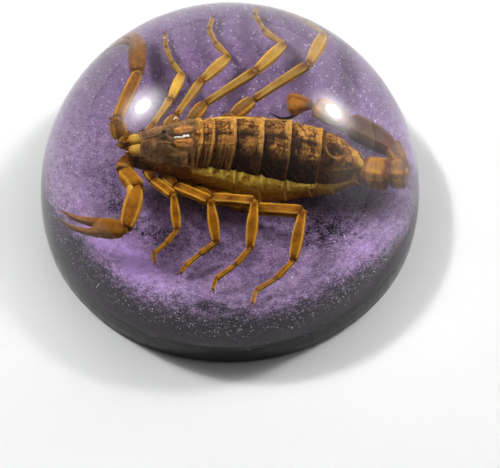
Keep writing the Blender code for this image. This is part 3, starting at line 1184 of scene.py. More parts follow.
def build_pleura(animal):
    """The soft body: creased skin between the plates, pinched in at each joint."""
    g = flank_ground()
    dark = np.clip(0.2 - 0.5 * g.creases - 0.5 * g.share, 0, 1) * g.band + 0.6 * (1 - g.band)
    # Painted shade: darker at the front, under the head shield, with the net of creases drawn darker in it
    dark = dark + g.front * (0.5 - 0.6 * g.creases - 0.5 * g.share + 0.5 * g.net)
    pale = 0.18 + 0.95 * g.net + 0.5 * g.creases + 0.6 * g.share + 1.1 * g.folds + 0.5 * g.pinch
    pale = g.band * np.clip(pale, 0, 1)
    skin = Skin()
    loft(skin, creased_flank(g), dark=np.clip(dark, 0, 1), pale=np.clip(pale, 0, 1))
    skin.piece("pleura", cuticle("soft skin", animal), sharp=80)


# Share of the way round that a belly plate reaches on each side
STERNITE_WRAP = 0.287


def build_sternites(animal):
    """Five belly plates, wrapped round the underside and up the flanks."""
    skin = Skin()
    for number, (before, end) in enumerate(zip(BELLY_PLATES, BELLY_PLATES[1:])):
        start = before - 0.25
        s, t = plate_grid(18 + int(6 * (end - start)), 120)
        x = start + (end - start) * s - 0.25 * np.abs(t) ** 6 * s
        ring = np.stack([x, *belly_ring(x, 0.5 + STERNITE_WRAP * t)], -1)
        inside = np.stack([x, flowing(MIDDLE, x), flowing(BELLY_WIDEST, x)], -1)
        keel = hump(np.abs(t), 0.34, 0.03) * fade(0.5, 0.7, s)
        rough = grain(ring, 0.7, number + 30)
        grow = 0.10 + 0.09 * fade(0.75, 0.95, s) + 0.05 * keel + 0.03 * rough - 0.05 * hump(s, 0.2, 0.08)
        ring = ring + unit(ring - inside) * grow[..., None]
        margin = fade(0.90, 0.94, s)
        up_flank = fade(0.55, 0.95, np.abs(t))
        veins = hump(grain(ring * (0.8, 1, 0.5), 0.5, number + 60), 0, 0.1)
        dark = np.clip(0.24 + 0.3 * rough - 0.2 * up_flank, 0, 1) * (1 - margin)
        pale = 0.95 * margin + 0.7 * hump(np.abs(t), 0.98, 0.03) + up_flank**2 * (0.15 + 0.5 * veins)
        plate(skin, ring, 0.1, DOWN, ridge=0.4 * keel, dark=dark, pale=pale)
    skin.piece("sternites", cuticle("belly cuticle", animal), sharp=60)


# Middle line of the breast, and the combs: teeth on each, and the line of their roots away from the middle
BREAST = 1.2
COMB_TEETH = 20
COMB_X = [(0, -4.0), (0.45, -2.9), (1, -1.0)]
COMB_Y = [(0, 0.6), (0.45, 1.9), (1, 3.4)]


def build_comb(skin, side):
    """One comb with its row of teeth."""
    line = ((-4.4, 0.5, 5.95), (-3.2, 2.0, 5.95), (-1.2, 3.4, 6.1))
    comb = [(x, BREAST + y * side, z) for x, y, z in line]
    sweep(skin, comb, [(0, 0.8), (1, 0.4)], [(0, 0.35), (1, 0.25)], pale=0.5, rings=20, sides=16)
    for tooth in range(COMB_TEETH):
        share = (tooth + 0.5) / COMB_TEETH
        x, y = float(flowing(COMB_X, share)), float(flowing(COMB_Y, share))
        root = (x + 0.1, BREAST + y * side, 5.95)
        tip = (x + 0.75, BREAST + (y - 0.45) * side, 5.85)
        sweep(skin, [root, tip], [(0, 0.13), (1, 0.15)], [(0, 0.12), (1, 0.13)], rings=7, sides=8, pale=0.6,
              tips=(0.1, 0.2))


def build_underside(animal):
    """Sternum, the two halves of the operculum, and the combs with their teeth."""
    skin = Skin()
    sweep(skin, [(-7.4, BREAST, 6.6), (-5.6, BREAST, 6.3)], [(0, 0.5), (0.6, 1.3), (1, 1.5)],
          [(0, 0.5), (1, 0.6)], square=3, dark=0.4)
    for side in (-1, 1):
        half = [(-5.3, BREAST + 0.1 * side, 6.1), (-5.0, BREAST + 1.3 * side, 6.2)]
        sweep(skin, half, [(0, 0.8), (1, 0.5)], [(0, 0.4), (1, 0.3)], dark=0.3, rings=14, sides=16)
        build_comb(skin, side)
    skin.piece("sternum_and_combs", cuticle("leg cuticle", animal))


# ------------------------------------------------------------------ head


# The head shield: its ends along X, then its half width, crest and edge by the share from front to back
HEAD_FRONT, HEAD_BACK = -10.8, -4.15
HEAD_HALF = [(0, 2.05), (0.2, 2.3), (0.55, 2.85), (0.85, 3.35), (1, 3.45)]
HEAD_CREST = [(0, 11.5), (0.22, 12.1), (0.42, 12.7), (0.6, 12.45), (0.8, 12.5), (1, 12.75)]
HEAD_EDGE = [(0, 10.2), (1, 10.45)]
HEAD_THICKNESS = 0.16
EYE_PLACE = 0.42


def head_place(s, t):
    """A place on the carapace, before its furrows and keels."""
    x = HEAD_FRONT + (HEAD_BACK - HEAD_FRONT) * s + 0.25 * (1 - s) * hump(t, 0, 0.3)
    y = flowing(MIDDLE, x) + t * flowing(HEAD_HALF, s)
    edge, crest = flowing(HEAD_EDGE, s), flowing(HEAD_CREST, s)
    return x, y, edge + (crest - edge) * (1 - np.abs(t) ** 2.5)


def head_keels(s, side):
    """Share of keel at each place: over the eyes, along the middle, behind, and the raised rim."""
    brow = hump(side, 0.10 + 0.10 * np.abs(s - EYE_PLACE), 0.035) * fade(0.04, 0.15, s)
    brow = brow * (1 - fade(0.5, 0.56, s))
    centre = hump(side, 0.34 + 0.25 * (s - 0.5) ** 2, 0.035) * fade(0.25, 0.35, s)
    centre = centre * (1 - fade(0.62, 0.7, s))
    hind = hump(side, 0.20 + 0.08 * s, 0.04) * fade(0.62, 0.7, s) * (1 - fade(0.95, 1.0, s))
    rim = np.maximum(hump(s, 0.015, 0.02), hump(side, 0.985, 0.03))
    return np.clip(brow + centre + hind + 0.7 * rim, 0, 1)


def head_ground():
    """The grid of the head shield, with the noise and the marks that its relief and its paint share."""
    g = SimpleNamespace()
    g.s, g.t = plate_grid(96, 120)
    g.side = np.abs(g.t)
    g.at = np.stack(head_place(g.s, g.t), -1)
    g.keels = head_keels(g.s, g.side)
    g.rough, g.fine = grain(g.at, 0.4, 21), grain(g.at, 0.15, 22)
    g.golden = hump(g.side, 0.29, 0.13) * fade(0.60, 0.68, g.s) * (1 - fade(0.94, 0.99, g.s))
    g.folds = grain(g.at * (2.0, 0.5, 0.5), 0.5, 24) * fade(0.7, 0.8, g.s) * fade(0.4, 0.6, g.side)
    return g


def head_height(g):
    """Height of the head shield with its eye hill, furrows, keels and grains."""
    furrow = -0.30 * hump(g.t, 0, 0.05) * fade(0.46, 0.6, g.s)
    furrow = furrow - 0.14 * hump(g.t, 0, 0.04) * (1 - fade(0.3, 0.36, g.s))
    furrow = furrow - 0.28 * hump(g.side, 0.42 + 0.7 * (g.s - 0.62), 0.06) * hump(g.s, 0.68, 0.16)
    furrow = furrow - 0.16 * hump(g.s, 0.93, 0.03) * (1 - hump(g.t, 0, 0.1))
    hill = 0.34 * hump(g.s, EYE_PLACE, 0.075) * hump(g.t, 0, 0.16)
    z = g.at[..., 2] + hill + furrow + 0.15 * g.keels * (1 + 0.6 * g.fine)
    z = z + 0.05 * g.rough + 0.05 * np.maximum(g.fine, 0)
    return z + 0.10 * g.golden * np.maximum(grain(g.at, 0.22, 23), 0)


def head_paint(g):
    """How dark and how pale each place of the head shield is, with painted shade round the eye hill and a
    painted highlight in front of it.
    """
    border, share = cells(g.at + 0.15 * g.rough[..., None], 0.9, 25)
    facet = (0.5 * share + 0.35 * hump(border, 0, 0.1)) * (1 - g.golden)
    dark = 0.46 - 0.75 * g.golden + 0.22 * g.rough + 0.7 * grain(g.at, 1.1, 26) - 0.4 * g.folds + facet
    # Darker round the eye hill: its own dark colour, with painted shade round it
    dark = dark + 0.6 * hump(g.s, 0.40, 0.1) * hump(g.t, -0.05, 0.24)
    dark = dark + 0.35 * hump(g.s, 0.08, 0.05) + 0.3 * hump(g.s, 0.945, 0.02)
    # Painted highlight: a pale streak on the shield in front of the eyes
    streak = hump(g.s, 0.21, 0.05) * hump(g.t, -0.16, 0.06)
    pale = g.golden * (0.55 + 2.6 * g.fine) + 0.08 * g.keels + 0.5 * streak + 0.4 * np.maximum(g.folds, 0)
    return np.clip(dark, 0, 0.8), np.clip(pale, 0, 1)


def build_carapace(animal):
    """The head shield: eye hill, furrows, beaded keels and a raised front rim."""
    g = head_ground()
    dark, pale = head_paint(g)
    points = np.stack([g.at[..., 0], g.at[..., 1], head_height(g)], -1)
    skin = Skin()
    plate(skin, points, HEAD_THICKNESS, ridge=0.35 * g.keels * g.golden, dark=dark, pale=pale)
    skin.piece("carapace", cuticle("head cuticle", animal), sharp=60)


def build_eye(skin, s, t, raised, radius):
    """One eye on the head shield."""
    x, y, z = (float(v) for v in head_place(np.array(s), np.array(t)))
    ball(skin, (x, y, z + raised), radius)


def build_eyes(animal):
    """Two eyes on the hill and three at each front corner."""
    skin = Skin()
    for side in (-1, 1):
        build_eye(skin, EYE_PLACE, 0.13 * side, 0.26, 0.3)
        for number in range(3):
            build_eye(skin, 0.035 + 0.04 * number, 0.88 * side, 0.05, 0.12 - 0.01 * number)
    skin.piece("eyes", horn_black(animal))


# Width, depth and paint along a jaw
JAW_WIDTH = [(0, 1.1), (0.45, 1.34), (0.75, 1.2), (1, 0.9)]
JAW_DEPTH = [(0, 1.2), (0.5, 1.35), (1, 0.9)]
JAW_PALE = [(0, 0.3), (0.35, 0.95), (0.7, 1.0), (0.9, 0.4), (1, 0.0)]
JAW_DARK = [(0, 0.5), (0.4, 0.0), (0.85, 0.1), (1, 0.9)]


def build_jaw_finger(skin, y, shift, reach):
    """One finger of a jaw, with three teeth."""
    root = (-11.75, y + shift, 10.45)
    knee = (-12.1, y + shift * 1.25, 10.35)
    tip = (-11.9 - reach, y + shift * 0.35, 10.1)
    sweep(skin, [root, knee, tip], [(0, 0.42), (0.5, 0.3), (1, 0.06)], [(0, 0.5), (0.5, 0.35), (1, 0.08)],
          rings=14, sides=12, dark=[(0, 1.0), (0.4, 1.3), (1, 1.3)])
    for at in (0.3, 0.55, 0.8):
        x, across = -11.8 - reach * at, y + shift * (1.1 - 0.6 * at)
        inward = (x - 0.05, across - 0.16 * np.sign(shift), 10.25)
        spike(skin, (x, across, 10.3), inward, 0.12, dark=1.0, ridge=1.0)


def build_chelicerae(animal):
    """The two short jaws under the front rim, each with a fixed and a moving finger."""
    draw = random.Random(31)
    skin = Skin()
    for y, out in ((0.5, -1), (1.95, 1)):
        route = [(-9.8, y, 10.5), (-12.1, y - 0.02 * out, 10.4)]
        swept = sweep(skin, route, JAW_WIDTH, JAW_DEPTH, square=2.7, lumps=0.05, seed=y, pale=JAW_PALE,
                      dark=JAW_DARK, tips=(0.1, 0.2), sides=30)
        build_jaw_finger(skin, y, -0.28, 0.72)
        build_jaw_finger(skin, y, 0.30, 0.85)
        bristles(skin, swept, 26, animal.hair / MM * 0.7, draw)
    skin.piece("chelicerae", cuticle("leg cuticle", animal))


# ------------------------------------------------------------------ limbs


# How dark a limb is along each part, and its keels as sweep takes them
JOINT_SHADE = [(0, 1.0), (0.07, 0.8), (0.15, 0.15), (0.5, 0.32), (0.86, 0.15), (0.94, 0.8), (1, 1.0)]
HIP_SHADE = [(0, 1.0), (0.2, 0.6), (0.7, 0.5), (1, 1.0)]
LEG_KEELS = (
    (36, 0.07, 11, 18), (144, 0.07, 11, 18), (216, 0.06, 11, 16), (324, 0.06, 11, 16), (90, -0.07, 22, 0),
)


def knuckles(skin, at, along, reach, size):
    """The two knobs that a joint turns on."""
    side = unit(np.cross(unit(along), UP))
    for sign in (-1, 1):
        ball(skin, np.array(at) + sign * reach * side, size, dark=0.9, ridge=0.2)


def sleeve(skin, at, toward, width):
    """Soft skin that fills a joint."""
    at, toward = np.array(at, float), np.array(toward, float)
    along = unit(toward - at)
    round_stops = [(0, width * 0.8), (1, width * 0.8)]
    sweep(skin, [at - 0.3 * width * along, at + 0.4 * width * along], round_stops, round_stops,
          rings=10, sides=16, tips=(0.3, 0.3), dark=0.7, pale=0.2)


def claws(skin, tip, back, size):
    """Two curved claws and the dart between them."""
    tip = np.array(tip, float)
    along = unit(tip - np.array(back, float))
    side = unit(np.cross(along, UP))
    for sign in (-1, 1):
        middle = tip + size * (0.55 * along + 0.34 * sign * side + (0, 0, 0.12))
        end = tip + size * (0.95 * along + 0.55 * sign * side - (0, 0, 0.30))
        sweep(skin, [tip, middle, end], [(0, 0.22 * size), (0.5, 0.17 * size), (1, 0.05 * size)],
              [(0, 0.24 * size), (0.5, 0.18 * size), (1, 0.05 * size)], rings=9, sides=8, dark=1.0)
    spike(skin, tip, tip + size * (0.35 * along - (0, 0, 0.12)), 0.12 * size, dark=1.0)


# Widths and depths along each part of a leg. The near legs lie flat, the far ones stand on edge.
LEG_PARTS = {
    "left": {
        "femur": ([(0, 1.0), (0.12, 1.15), (0.6, 1.15), (0.92, 1.2), (1, 1.05)],
                  [(0, 0.9), (0.5, 1.05), (1, 1.0)]),
        "patella": ([(0, 0.8), (0.12, 0.92), (0.5, 1.36), (0.78, 1.2), (1, 0.85)],
                    [(0, 0.8), (0.45, 1.15), (1, 0.8)]),
        "tibia": ([(0, 0.56), (0.3, 0.56), (0.9, 0.66), (1, 0.6)], [(0, 0.56), (0.9, 0.66), (1, 0.6)]),
        "basitarsus": ([(0, 0.48), (0.3, 0.46), (0.9, 0.56), (1, 0.52)],
                       [(0, 0.48), (0.9, 0.54), (1, 0.5)]),
        "tarsus": ([(0, 0.44), (0.4, 0.5), (1, 0.38)], [(0, 0.44), (0.4, 0.5), (1, 0.38)]),
    },
    "right": {
        "femur": ([(0, 0.62), (0.2, 0.62), (0.6, 0.74), (0.92, 0.86), (1, 0.78)],
                  [(0, 0.8), (0.5, 1.05), (1, 1.0)]),
        "patella": ([(0, 0.66), (0.12, 0.78), (0.5, 1.08), (0.8, 1.0), (1, 0.7)],
                    [(0, 0.8), (0.45, 1.15), (1, 0.8)]),
        "tibia": ([(0, 0.42), (0.3, 0.44), (0.9, 0.54), (1, 0.5)], [(0, 0.5), (0.9, 0.62), (1, 0.58)]),
        "basitarsus": ([(0, 0.38), (0.3, 0.38), (0.9, 0.46), (1, 0.42)],
                       [(0, 0.42), (0.9, 0.5), (1, 0.46)]),
        "tarsus": ([(0, 0.36), (0.4, 0.4), (1, 0.32)], [(0, 0.36), (0.4, 0.4), (1, 0.32)]),
    },
}

# Widths and depths of every leg's first two parts
COXA = ([(0, 1.1), (0.6, 1.45), (1, 1.3)], [(0, 1.1), (1, 1.3)])
TROCHANTER = ([(0, 0.95), (0.35, 1.3), (0.8, 1.2), (1, 0.95)], [(0, 1.0), (0.4, 1.4), (1, 1.05)])

# Painted highlights: how pale the middles of the far legs' parts are painted on the side the lamps light,
# and the part
# that is turned broad side to the light: how much wider, and how pale its painted highlight
FAR_HIGHLIGHT = {"femur": 0.15, "patella": 0.32, "tibia": 0.15}
BROAD_PART = ("leg_right_1", "patella")
BROAD_WIDER, BROAD_HIGHLIGHT = 1.12, 0.7


def scaled(stops, size):
    """(place, value) stops with every value scaled."""
    return [(place, value * size) for place, value in stops]


# Parts of a leg from the hip out, the width of the soft skin before each, and its number of bristles
LEG_ROUTE = {
    "femur": (0.8, 22),
    "patella": (0.9, 26),
    "tibia": (0.62, 22),
    "basitarsus": (0.5, 26),
    "tarsus": (0.42, 20),
}


def build_hip(skin, places, girth, seed, far):
    """Coxa and trochanter: the leg's root beside the breastbone, and its first joint."""
    root, coxa_end, hip = places
    width, depth = (scaled(stops, girth) for stops in COXA)
    sweep(skin, [root, coxa_end], width, depth, square=2.8, lumps=0.04, seed=seed,
          dark=[(0, 0.9), (0.7, 0.6), (1, 0.8)])
    sleeve(skin, coxa_end, hip, 1.1 * girth)
    width, depth = (scaled(stops, girth) for stops in TROCHANTER)
    sweep(skin, [coxa_end, hip], width, depth, square=2.6, lumps=0.03, seed=seed, keels=LEG_KEELS[:2],
          dark=scaled(HIP_SHADE, 0.6 if far else 1.0), rings=22)


def build_leg_part(skin, name, part, ends, girth, seed):
    """One part of a leg between two joints."""
    far = name.startswith("leg_right")
    width, depth = LEG_PARTS["right" if far else "left"][part]
    thick = part in ("femur", "patella")
    broad = (name, part) == BROAD_PART
    wider = BROAD_WIDER if broad else 1.0
    # Painted highlight down the middle of the far legs' parts
    painted_highlight = BROAD_HIGHLIGHT if broad else FAR_HIGHLIGHT.get(part, 0.0) * far
    return sweep(
        skin, ends, scaled(width, girth * wider), scaled(depth, girth), square=2.8 if thick else 2.4,
        keels=LEG_KEELS if thick else LEG_KEELS[:4], lumps=0.02, seed=seed, dark=JOINT_SHADE,
        pale=[(0, 0.0), (0.2, painted_highlight), (0.8, painted_highlight), (1, 0.0)],
        rings=44 if thick else 28, sides=40 if thick else 20, tips=(0.04, 0.03), glow=0.85)


def build_leg(name, girth, animal):
    """A leg, from the coxa beside the breastbone out to the claws."""
    places = LEGS[name]
    knee, patella, basitarsus, tip = places[3], places[4], places[6], places[7]
    far = name.startswith("leg_right")
    draw = random.Random(name)
    seed = draw.random()
    skin = Skin()
    build_hip(skin, places[:3], girth, seed, far)
    ends = dict(zip(LEG_ROUTE, zip(places[2:], places[3:])))
    swept = {part: build_leg_part(skin, name, part, list(ends[part]), girth, seed) for part in LEG_ROUTE}
    for part, (width, _) in LEG_ROUTE.items():
        sleeve(skin, *ends[part], width * girth * (0.85 if far else 1.0))
    along = np.array(patella, float) - np.array(knee, float)
    knuckles(skin, knee, along, 0.42 * girth, 0.17 * girth)
    knuckles(skin, patella, along, 0.33 * girth, 0.13 * girth)
    claws(skin, tip, basitarsus, 0.62 * girth)
    for part, (_, count) in LEG_ROUTE.items():
        bristles(skin, swept[part], count, animal.hair / MM * (0.5 if "tarsus" in part else 0.8), draw)
    skin.piece(name, cuticle("lit far leg cuticle" if far else "leg cuticle", animal))


def finger(skin, route, width, inner):
    """A claw finger with a row of dark teeth along its inner edge."""
    swept = sweep(skin, route, width, scaled(width, 1.1), square=2.3, keels=FINGER_KEELS, rings=44,
                  sides=22, tips=(0.05, 0.03), dark=FINGER_SHADE, glow=0.12)
    rings, middle = swept
    for i in range(10, len(rings) - 2):
        toward = unit(np.array(inner) - middle[i])
        out = rings[i] - middle[i]
        k = int(np.argmax(out @ toward))
        spike(skin, rings[i, k] - 0.02 * toward, rings[i, k] + 0.09 * toward, 0.1, dark=1.0)
    return swept


# Widths and depths of each part of an arm
ARM_PARTS = {
    "pedipalp_left": {
        "trochanter": ([(0, 1.3), (0.3, 1.9), (0.7, 2.2), (1, 1.9)], [(0, 1.4), (0.5, 1.9), (1, 1.7)]),
        "femur": ([(0, 1.6), (0.15, 1.95), (0.6, 1.95), (0.9, 2.05), (1, 1.7)],
                  [(0, 1.4), (0.2, 1.7), (0.9, 1.8), (1, 1.5)]),
        "patella": ([(0, 1.3), (0.1, 1.85), (0.32, 2.4), (0.55, 2.45), (0.8, 2.1), (0.92, 1.8), (1, 1.35)],
                    [(0, 1.4), (0.15, 1.9), (0.5, 2.2), (1, 1.5)]),
        "hand": ([(0, 1.3), (0.12, 2.15), (0.35, 2.85), (0.6, 2.95), (0.8, 2.75), (1, 2.4)],
                 [(0, 1.2), (0.15, 1.8), (0.5, 2.2), (0.8, 1.9), (1, 1.5)]),
    },
    "pedipalp_right": {
        "trochanter": ([(0, 1.4), (0.4, 2.1), (1, 1.8)], [(0, 1.4), (0.5, 1.9), (1, 1.6)]),
        "femur": ([(0, 1.5), (0.5, 1.9), (1, 1.6)], [(0, 1.5), (0.5, 1.8), (1, 1.5)]),
        "patella": ([(0, 1.2), (0.1, 1.4), (0.4, 1.55), (0.8, 1.5), (1, 1.25)],
                    [(0, 1.3), (0.15, 1.8), (0.5, 2.1), (1, 1.4)]),
        "hand": ([(0, 1.2), (0.12, 1.6), (0.5, 1.95), (0.85, 1.95), (1, 1.7)],
                 [(0, 1.1), (0.15, 1.7), (0.5, 2.2), (0.85, 2.0), (1, 1.5)]),
    },
}
ARM_SHADE = {
    "trochanter": [(0, 1.3), (0.35, 1.0), (0.7, 0.55), (1, 1.1)],
    "femur": [(0, 1.0), (0.1, 0.25), (0.5, 0.05), (0.9, 0.35), (1, 1.1)],
    "patella": [(0, 0.9), (0.08, 0.1), (0.3, 0.05), (0.55, 0.55), (0.9, 0.6), (1, 1.1)],
    "hand": [(0, 1.1), (0.1, 0.8), (0.5, 0.72), (0.8, 0.78), (1, 0.8)],
}
FINGER_WIDTH = [(0, 1.6), (0.22, 1.15), (0.5, 0.78), (0.75, 0.56), (1, 0.14)]
FINGER_SHADE = [(0, 0.7), (0.5, 0.7), (0.8, 0.9), (1, 1.2)]
FINGER_KEELS = ((60, 0.03, 14, 0), (120, 0.03, 14, 0))
HAND_KEELS = ((60, 0.03, 16, 0), (120, 0.03, 16, 0))
ARM_KEELS = ((40, 0.09, 9, 20), (140, 0.09, 9, 20), (220, 0.07, 9, 16), (320, 0.07, 9, 16))
TROCHANTER_PALE = [(0, 0.1), (0.7, 0.0), (0.85, 0.5), (0.95, 0.1), (1, 0.0)]
ARM_BRISTLES = {"femur": 24, "patella": 26, "hand": 40, "upper": 26, "lower": 26}


def build_arm_part(skin, name, part, ends, seed):
    """One part of an arm between two joints."""
    width, depth = ARM_PARTS[name][part]
    palm = part == "hand"
    first = part == "trochanter"
    return sweep(
        skin, ends, width, depth, square=2.2 if palm else 2.35, keels=HAND_KEELS if palm else ARM_KEELS,
        lumps=0.14 if first else 0.06, seed=seed, dark=ARM_SHADE[part], rings=44, sides=44,
        pale=TROCHANTER_PALE if first else 0.0, tips=(0.07, 0.25 if palm else 0.05),
        glow={"trochanter": 0.0, "hand": 0.12}.get(part, 0.65))


def build_pedipalp(name, animal):
    """An arm with its claw, from beside the jaws out to the finger tips."""
    joints = [np.array(joint, float) for joint in ARMS[name]["joints"]]
    coxa, trochanter, femur, patella, hand, gap = joints
    upper, lower = ARMS[name]["upper"], ARMS[name]["lower"]
    draw = random.Random(name)
    seed = draw.random()
    skin = Skin()
    sweep(skin, [coxa, trochanter], [(0, 2.4), (0.6, 2.1), (1, 1.2)], [(0, 2.0), (1, 1.4)], square=2.6,
          lumps=0.06, seed=seed, dark=[(0, 0.9), (0.5, 0.7), (1, 1.2)])
    skin.piece(name + "_coxa", cuticle("back cuticle", animal))
    skin = Skin()
    ends = dict(zip(ARM_SHADE, zip(joints[1:], joints[2:])))
    swept = {part: build_arm_part(skin, name, part, list(ends[part]), seed) for part in ends}
    for at, toward, width in ((trochanter, femur, 1.4), (patella, hand, 1.35), (hand, gap, 1.15)):
        sleeve(skin, at, toward, width)
    if name.endswith("left"):
        ball(skin, patella + (-0.95, -0.35, 0.2), 0.62, (0.8, 1.2, 0.9), pale=1.0)
    swept["upper"] = finger(skin, upper, FINGER_WIDTH, lower[2])
    swept["lower"] = finger(skin, lower, scaled(FINGER_WIDTH, 0.9), upper[2])
    knuckles(skin, patella, hand - patella, 0.78, 0.24)
    knuckles(skin, hand, gap - hand, 0.6, 0.22)
    for part, count in ARM_BRISTLES.items():
        bristles(skin, swept[part], count, animal.hair / MM * (1.0 if part in ends else 0.7), draw)
    skin.piece(name, cuticle("leg cuticle", animal))


# ------------------------------------------------------------------ tail


# Width, depth and darkness along the tail rings, the bulb and the sting
RING_WIDTH = [(0, 0.66), (0.10, 0.82), (0.2, 0.9), (0.28, 0.93), (0.75, 1), (0.93, 1), (1, 0.8)]
LONG_WIDTH = [(0, 0.62), (0.10, 0.78), (0.3, 0.92), (0.55, 1), (0.8, 0.95), (0.95, 0.84), (1, 0.7)]
TAIL_WIDTH = (RING_WIDTH, RING_WIDTH, RING_WIDTH, LONG_WIDTH, LONG_WIDTH)
TAIL_DEPTH = [(0, 0.62), (0.10, 0.76), (0.28, 0.86), (0.8, 0.95), (1, 0.76)]
TAIL_SHADE = (
    [(0, 0.6), (0.12, 0.1), (0.5, 0.0), (0.85, 0.1), (1, 0.6)],
    [(0, 0.7), (0.12, 0.5), (0.9, 0.6), (1, 0.9)],
    [(0, 0.8), (0.12, 0.65), (0.9, 0.75), (1, 0.9)],
    [(0, 0.7), (0.12, 0.85), (0.9, 0.9), (1, 0.9)],
    [(0, 0.85), (0.3, 0.8), (0.65, 0.6), (0.85, 0.25), (1, 0.5)],
)
TAIL_RIMS = [(0, 0.9), (0.05, 0.6), (0.1, 0.1), (0.17, 0.6), (0.22, 0.1), (0.9, 0.1), (0.96, 0.8), (1, 0.9)]
TAIL_GROOVE = (90, -0.22, 18, 0)
BULB_WIDTH = [(0, 1.0), (0.22, 1.35), (0.6, 2.35), (0.85, 2.5), (1, 1.5)]
BULB_DEPTH = [(0, 1.0), (0.22, 1.3), (0.6, 2.2), (0.85, 2.3), (1, 1.4)]
BULB_KEELS = ((30, 0.06, 10, 8), (150, 0.06, 10, 8), (75, 0.05, 10, 8))
BULB_SHADE = [(0, 0.9), (0.16, 0.5), (0.35, 0.0), (0.8, 0.05), (1, 0.3)]
STING_WIDTH = [(0, 0.9), (0.25, 0.46), (0.6, 0.28), (1, 0.05)]


def tail_keels(number):
    """Beaded keels in pairs from the back down to the belly side, round the groove."""
    height = 0.13 if number < 5 else 0.10
    keels = [(62, height, 8, 13), (118, height, 8, 13), TAIL_GROOVE]
    keels += [(15, height * 0.8, 8, 13), (165, height * 0.8, 8, 13)]
    if number == 1:
        keels += [(-12, height * 0.7, 8, 13), (192, height * 0.7, 8, 13)]
    keels += [(-42, height, 8, 13), (222, height, 8, 13)]
    return keels + [(-74, height * 0.8, 8, 13), (254, height * 0.8, 8, 13)]


def build_tail_segment(number, animal):
    """One tail ring: a faceted barrel with beaded keels and a groove down its back."""
    start, end = np.array(TAIL[number - 1], float), np.array(TAIL[number], float)
    girth = TAIL_GIRTH[number - 1]
    draw = random.Random(number + 50)
    skin = Skin()
    swept = sweep(
        skin, [start, end], scaled(TAIL_WIDTH[number - 1], girth), scaled(TAIL_DEPTH, girth), square=3.0,
        keels=tail_keels(number), lumps=0.05, seed=number + 60, rings=56, sides=72, tips=(0.05, 0.05),
        ridge=TAIL_RIMS, dark=TAIL_SHADE[number - 1])
    sleeve(skin, start, start - (end - start), girth * 0.62)
    if number == 1:
        ball(skin, start + (-0.35, 0.35, 1.0), 0.75, (1.0, 1.0, 0.6), pale=1.0)
    bristles(skin, swept, 16, animal.hair / MM, draw)
    skin.piece(f"tail_{number}", cuticle("tail cuticle", animal))


def build_sting(animal):
    """The bulb and the curved sting."""
    draw = random.Random(71)
    skin = Skin()
    swept = sweep(skin, BULB, BULB_WIDTH, BULB_DEPTH, square=2.1, keels=BULB_KEELS, rings=40, sides=36,
                  tips=(0.08, 0.14), lumps=0.07, seed=72, dark=BULB_SHADE)
    bristles(skin, swept, 30, animal.hair / MM, draw)
    skin.piece("sting_bulb", cuticle("tail cuticle", animal))
    skin = Skin()
    sweep(skin, STING, STING_WIDTH, STING_WIDTH, rings=30, sides=18, tips=(0.1, 0.02))
    skin.piece("sting", horn_black(animal))


# Air films on the head shield: x, y, half length, width. The other one lies beside a hip.
AIR_FILMS = ((-6.3, 0.95, 0.34, 0.11), (-5.75, 0.93, 0.30, 0.09), (-5.2, 1.05, 0.42, 0.18))
HIP_FILM = [(-6.4, 5.0, 9.6), (-6.15, 5.25, 9.75), (-5.9, 5.2, 9.6)]


def build_air_films(resin):
    """Thin films of trapped air on the head shield and beside a far hip, painted white to stand for their
    glint.
    """
    skin = Skin()
    for number, (x, y, long, wide) in enumerate(AIR_FILMS):
        share = (x - HEAD_FRONT) / (HEAD_BACK - HEAD_FRONT)
        t = (y - float(flowing(MIDDLE, x))) / float(flowing(HEAD_HALF, share))
        z = float(head_place(np.array(share), np.array(t))[2]) + HEAD_THICKNESS
        sweep(skin, [(x - long, y - 0.06, z), (x, y + 0.03, z + 0.04), (x + long, y + 0.02, z)],
              [(0, wide), (0.3, wide * 2.2), (0.5, wide * 1.1), (0.8, wide * 2.2), (1, wide)],
              [(0, 0.08), (1, 0.08)], rings=24, sides=14, lumps=0.07, seed=number + 80, tips=(0.1, 0.1))
    sweep(skin, HIP_FILM, [(0, 0.1), (0.5, 0.2), (1, 0.08)], [(0, 0.1), (1, 0.1)], rings=16, sides=12,
          lumps=0.05, seed=85, tips=(0.1, 0.1))
    skin.piece("air_films", air_film_glint(resin))


# ------------------------------------------------------------------ stage

# The photograph's size and the place of the dome's centre in it, in pixels, and the sensor in millimetres
FRAME_WIDTH, FRAME_HEIGHT = 500, 468
DOME_PIXEL = (230.2, 192.0)
SENSOR = 36.0
CLIP_START = 0.01


def build_camera(studio):
    """The camera, aimed so that the dome's centre falls on its pixel of the photograph."""
    focal = studio.lens * FRAME_WIDTH / SENSOR
    tilt = studio.look_down
    ahead = Vector((0, math.cos(tilt), -math.sin(tilt)))
    right = Vector((1, 0, 0))
    above = right.cross(ahead)
    across = (DOME_PIXEL[0] - FRAME_WIDTH / 2) / focal
    down = (DOME_PIXEL[1] - FRAME_HEIGHT / 2) / focal
    ray = (ahead + right * across - above * down).normalized()
    camera = bpy.data.objects.new("camera", bpy.data.cameras.new("camera"))
    bpy.context.scene.collection.objects.link(camera)
    camera.location = Vector((0, 0, DOME_CENTRE * MM)) - ray * studio.stand_off
    camera.rotation_euler = (math.pi / 2 - tilt, 0, 0)
    camera.data.lens = studio.lens
    camera.data.sensor_width = SENSOR
    camera.data.clip_start = CLIP_START
    bpy.context.scene.camera = camera


FLOOR_HALF = 2


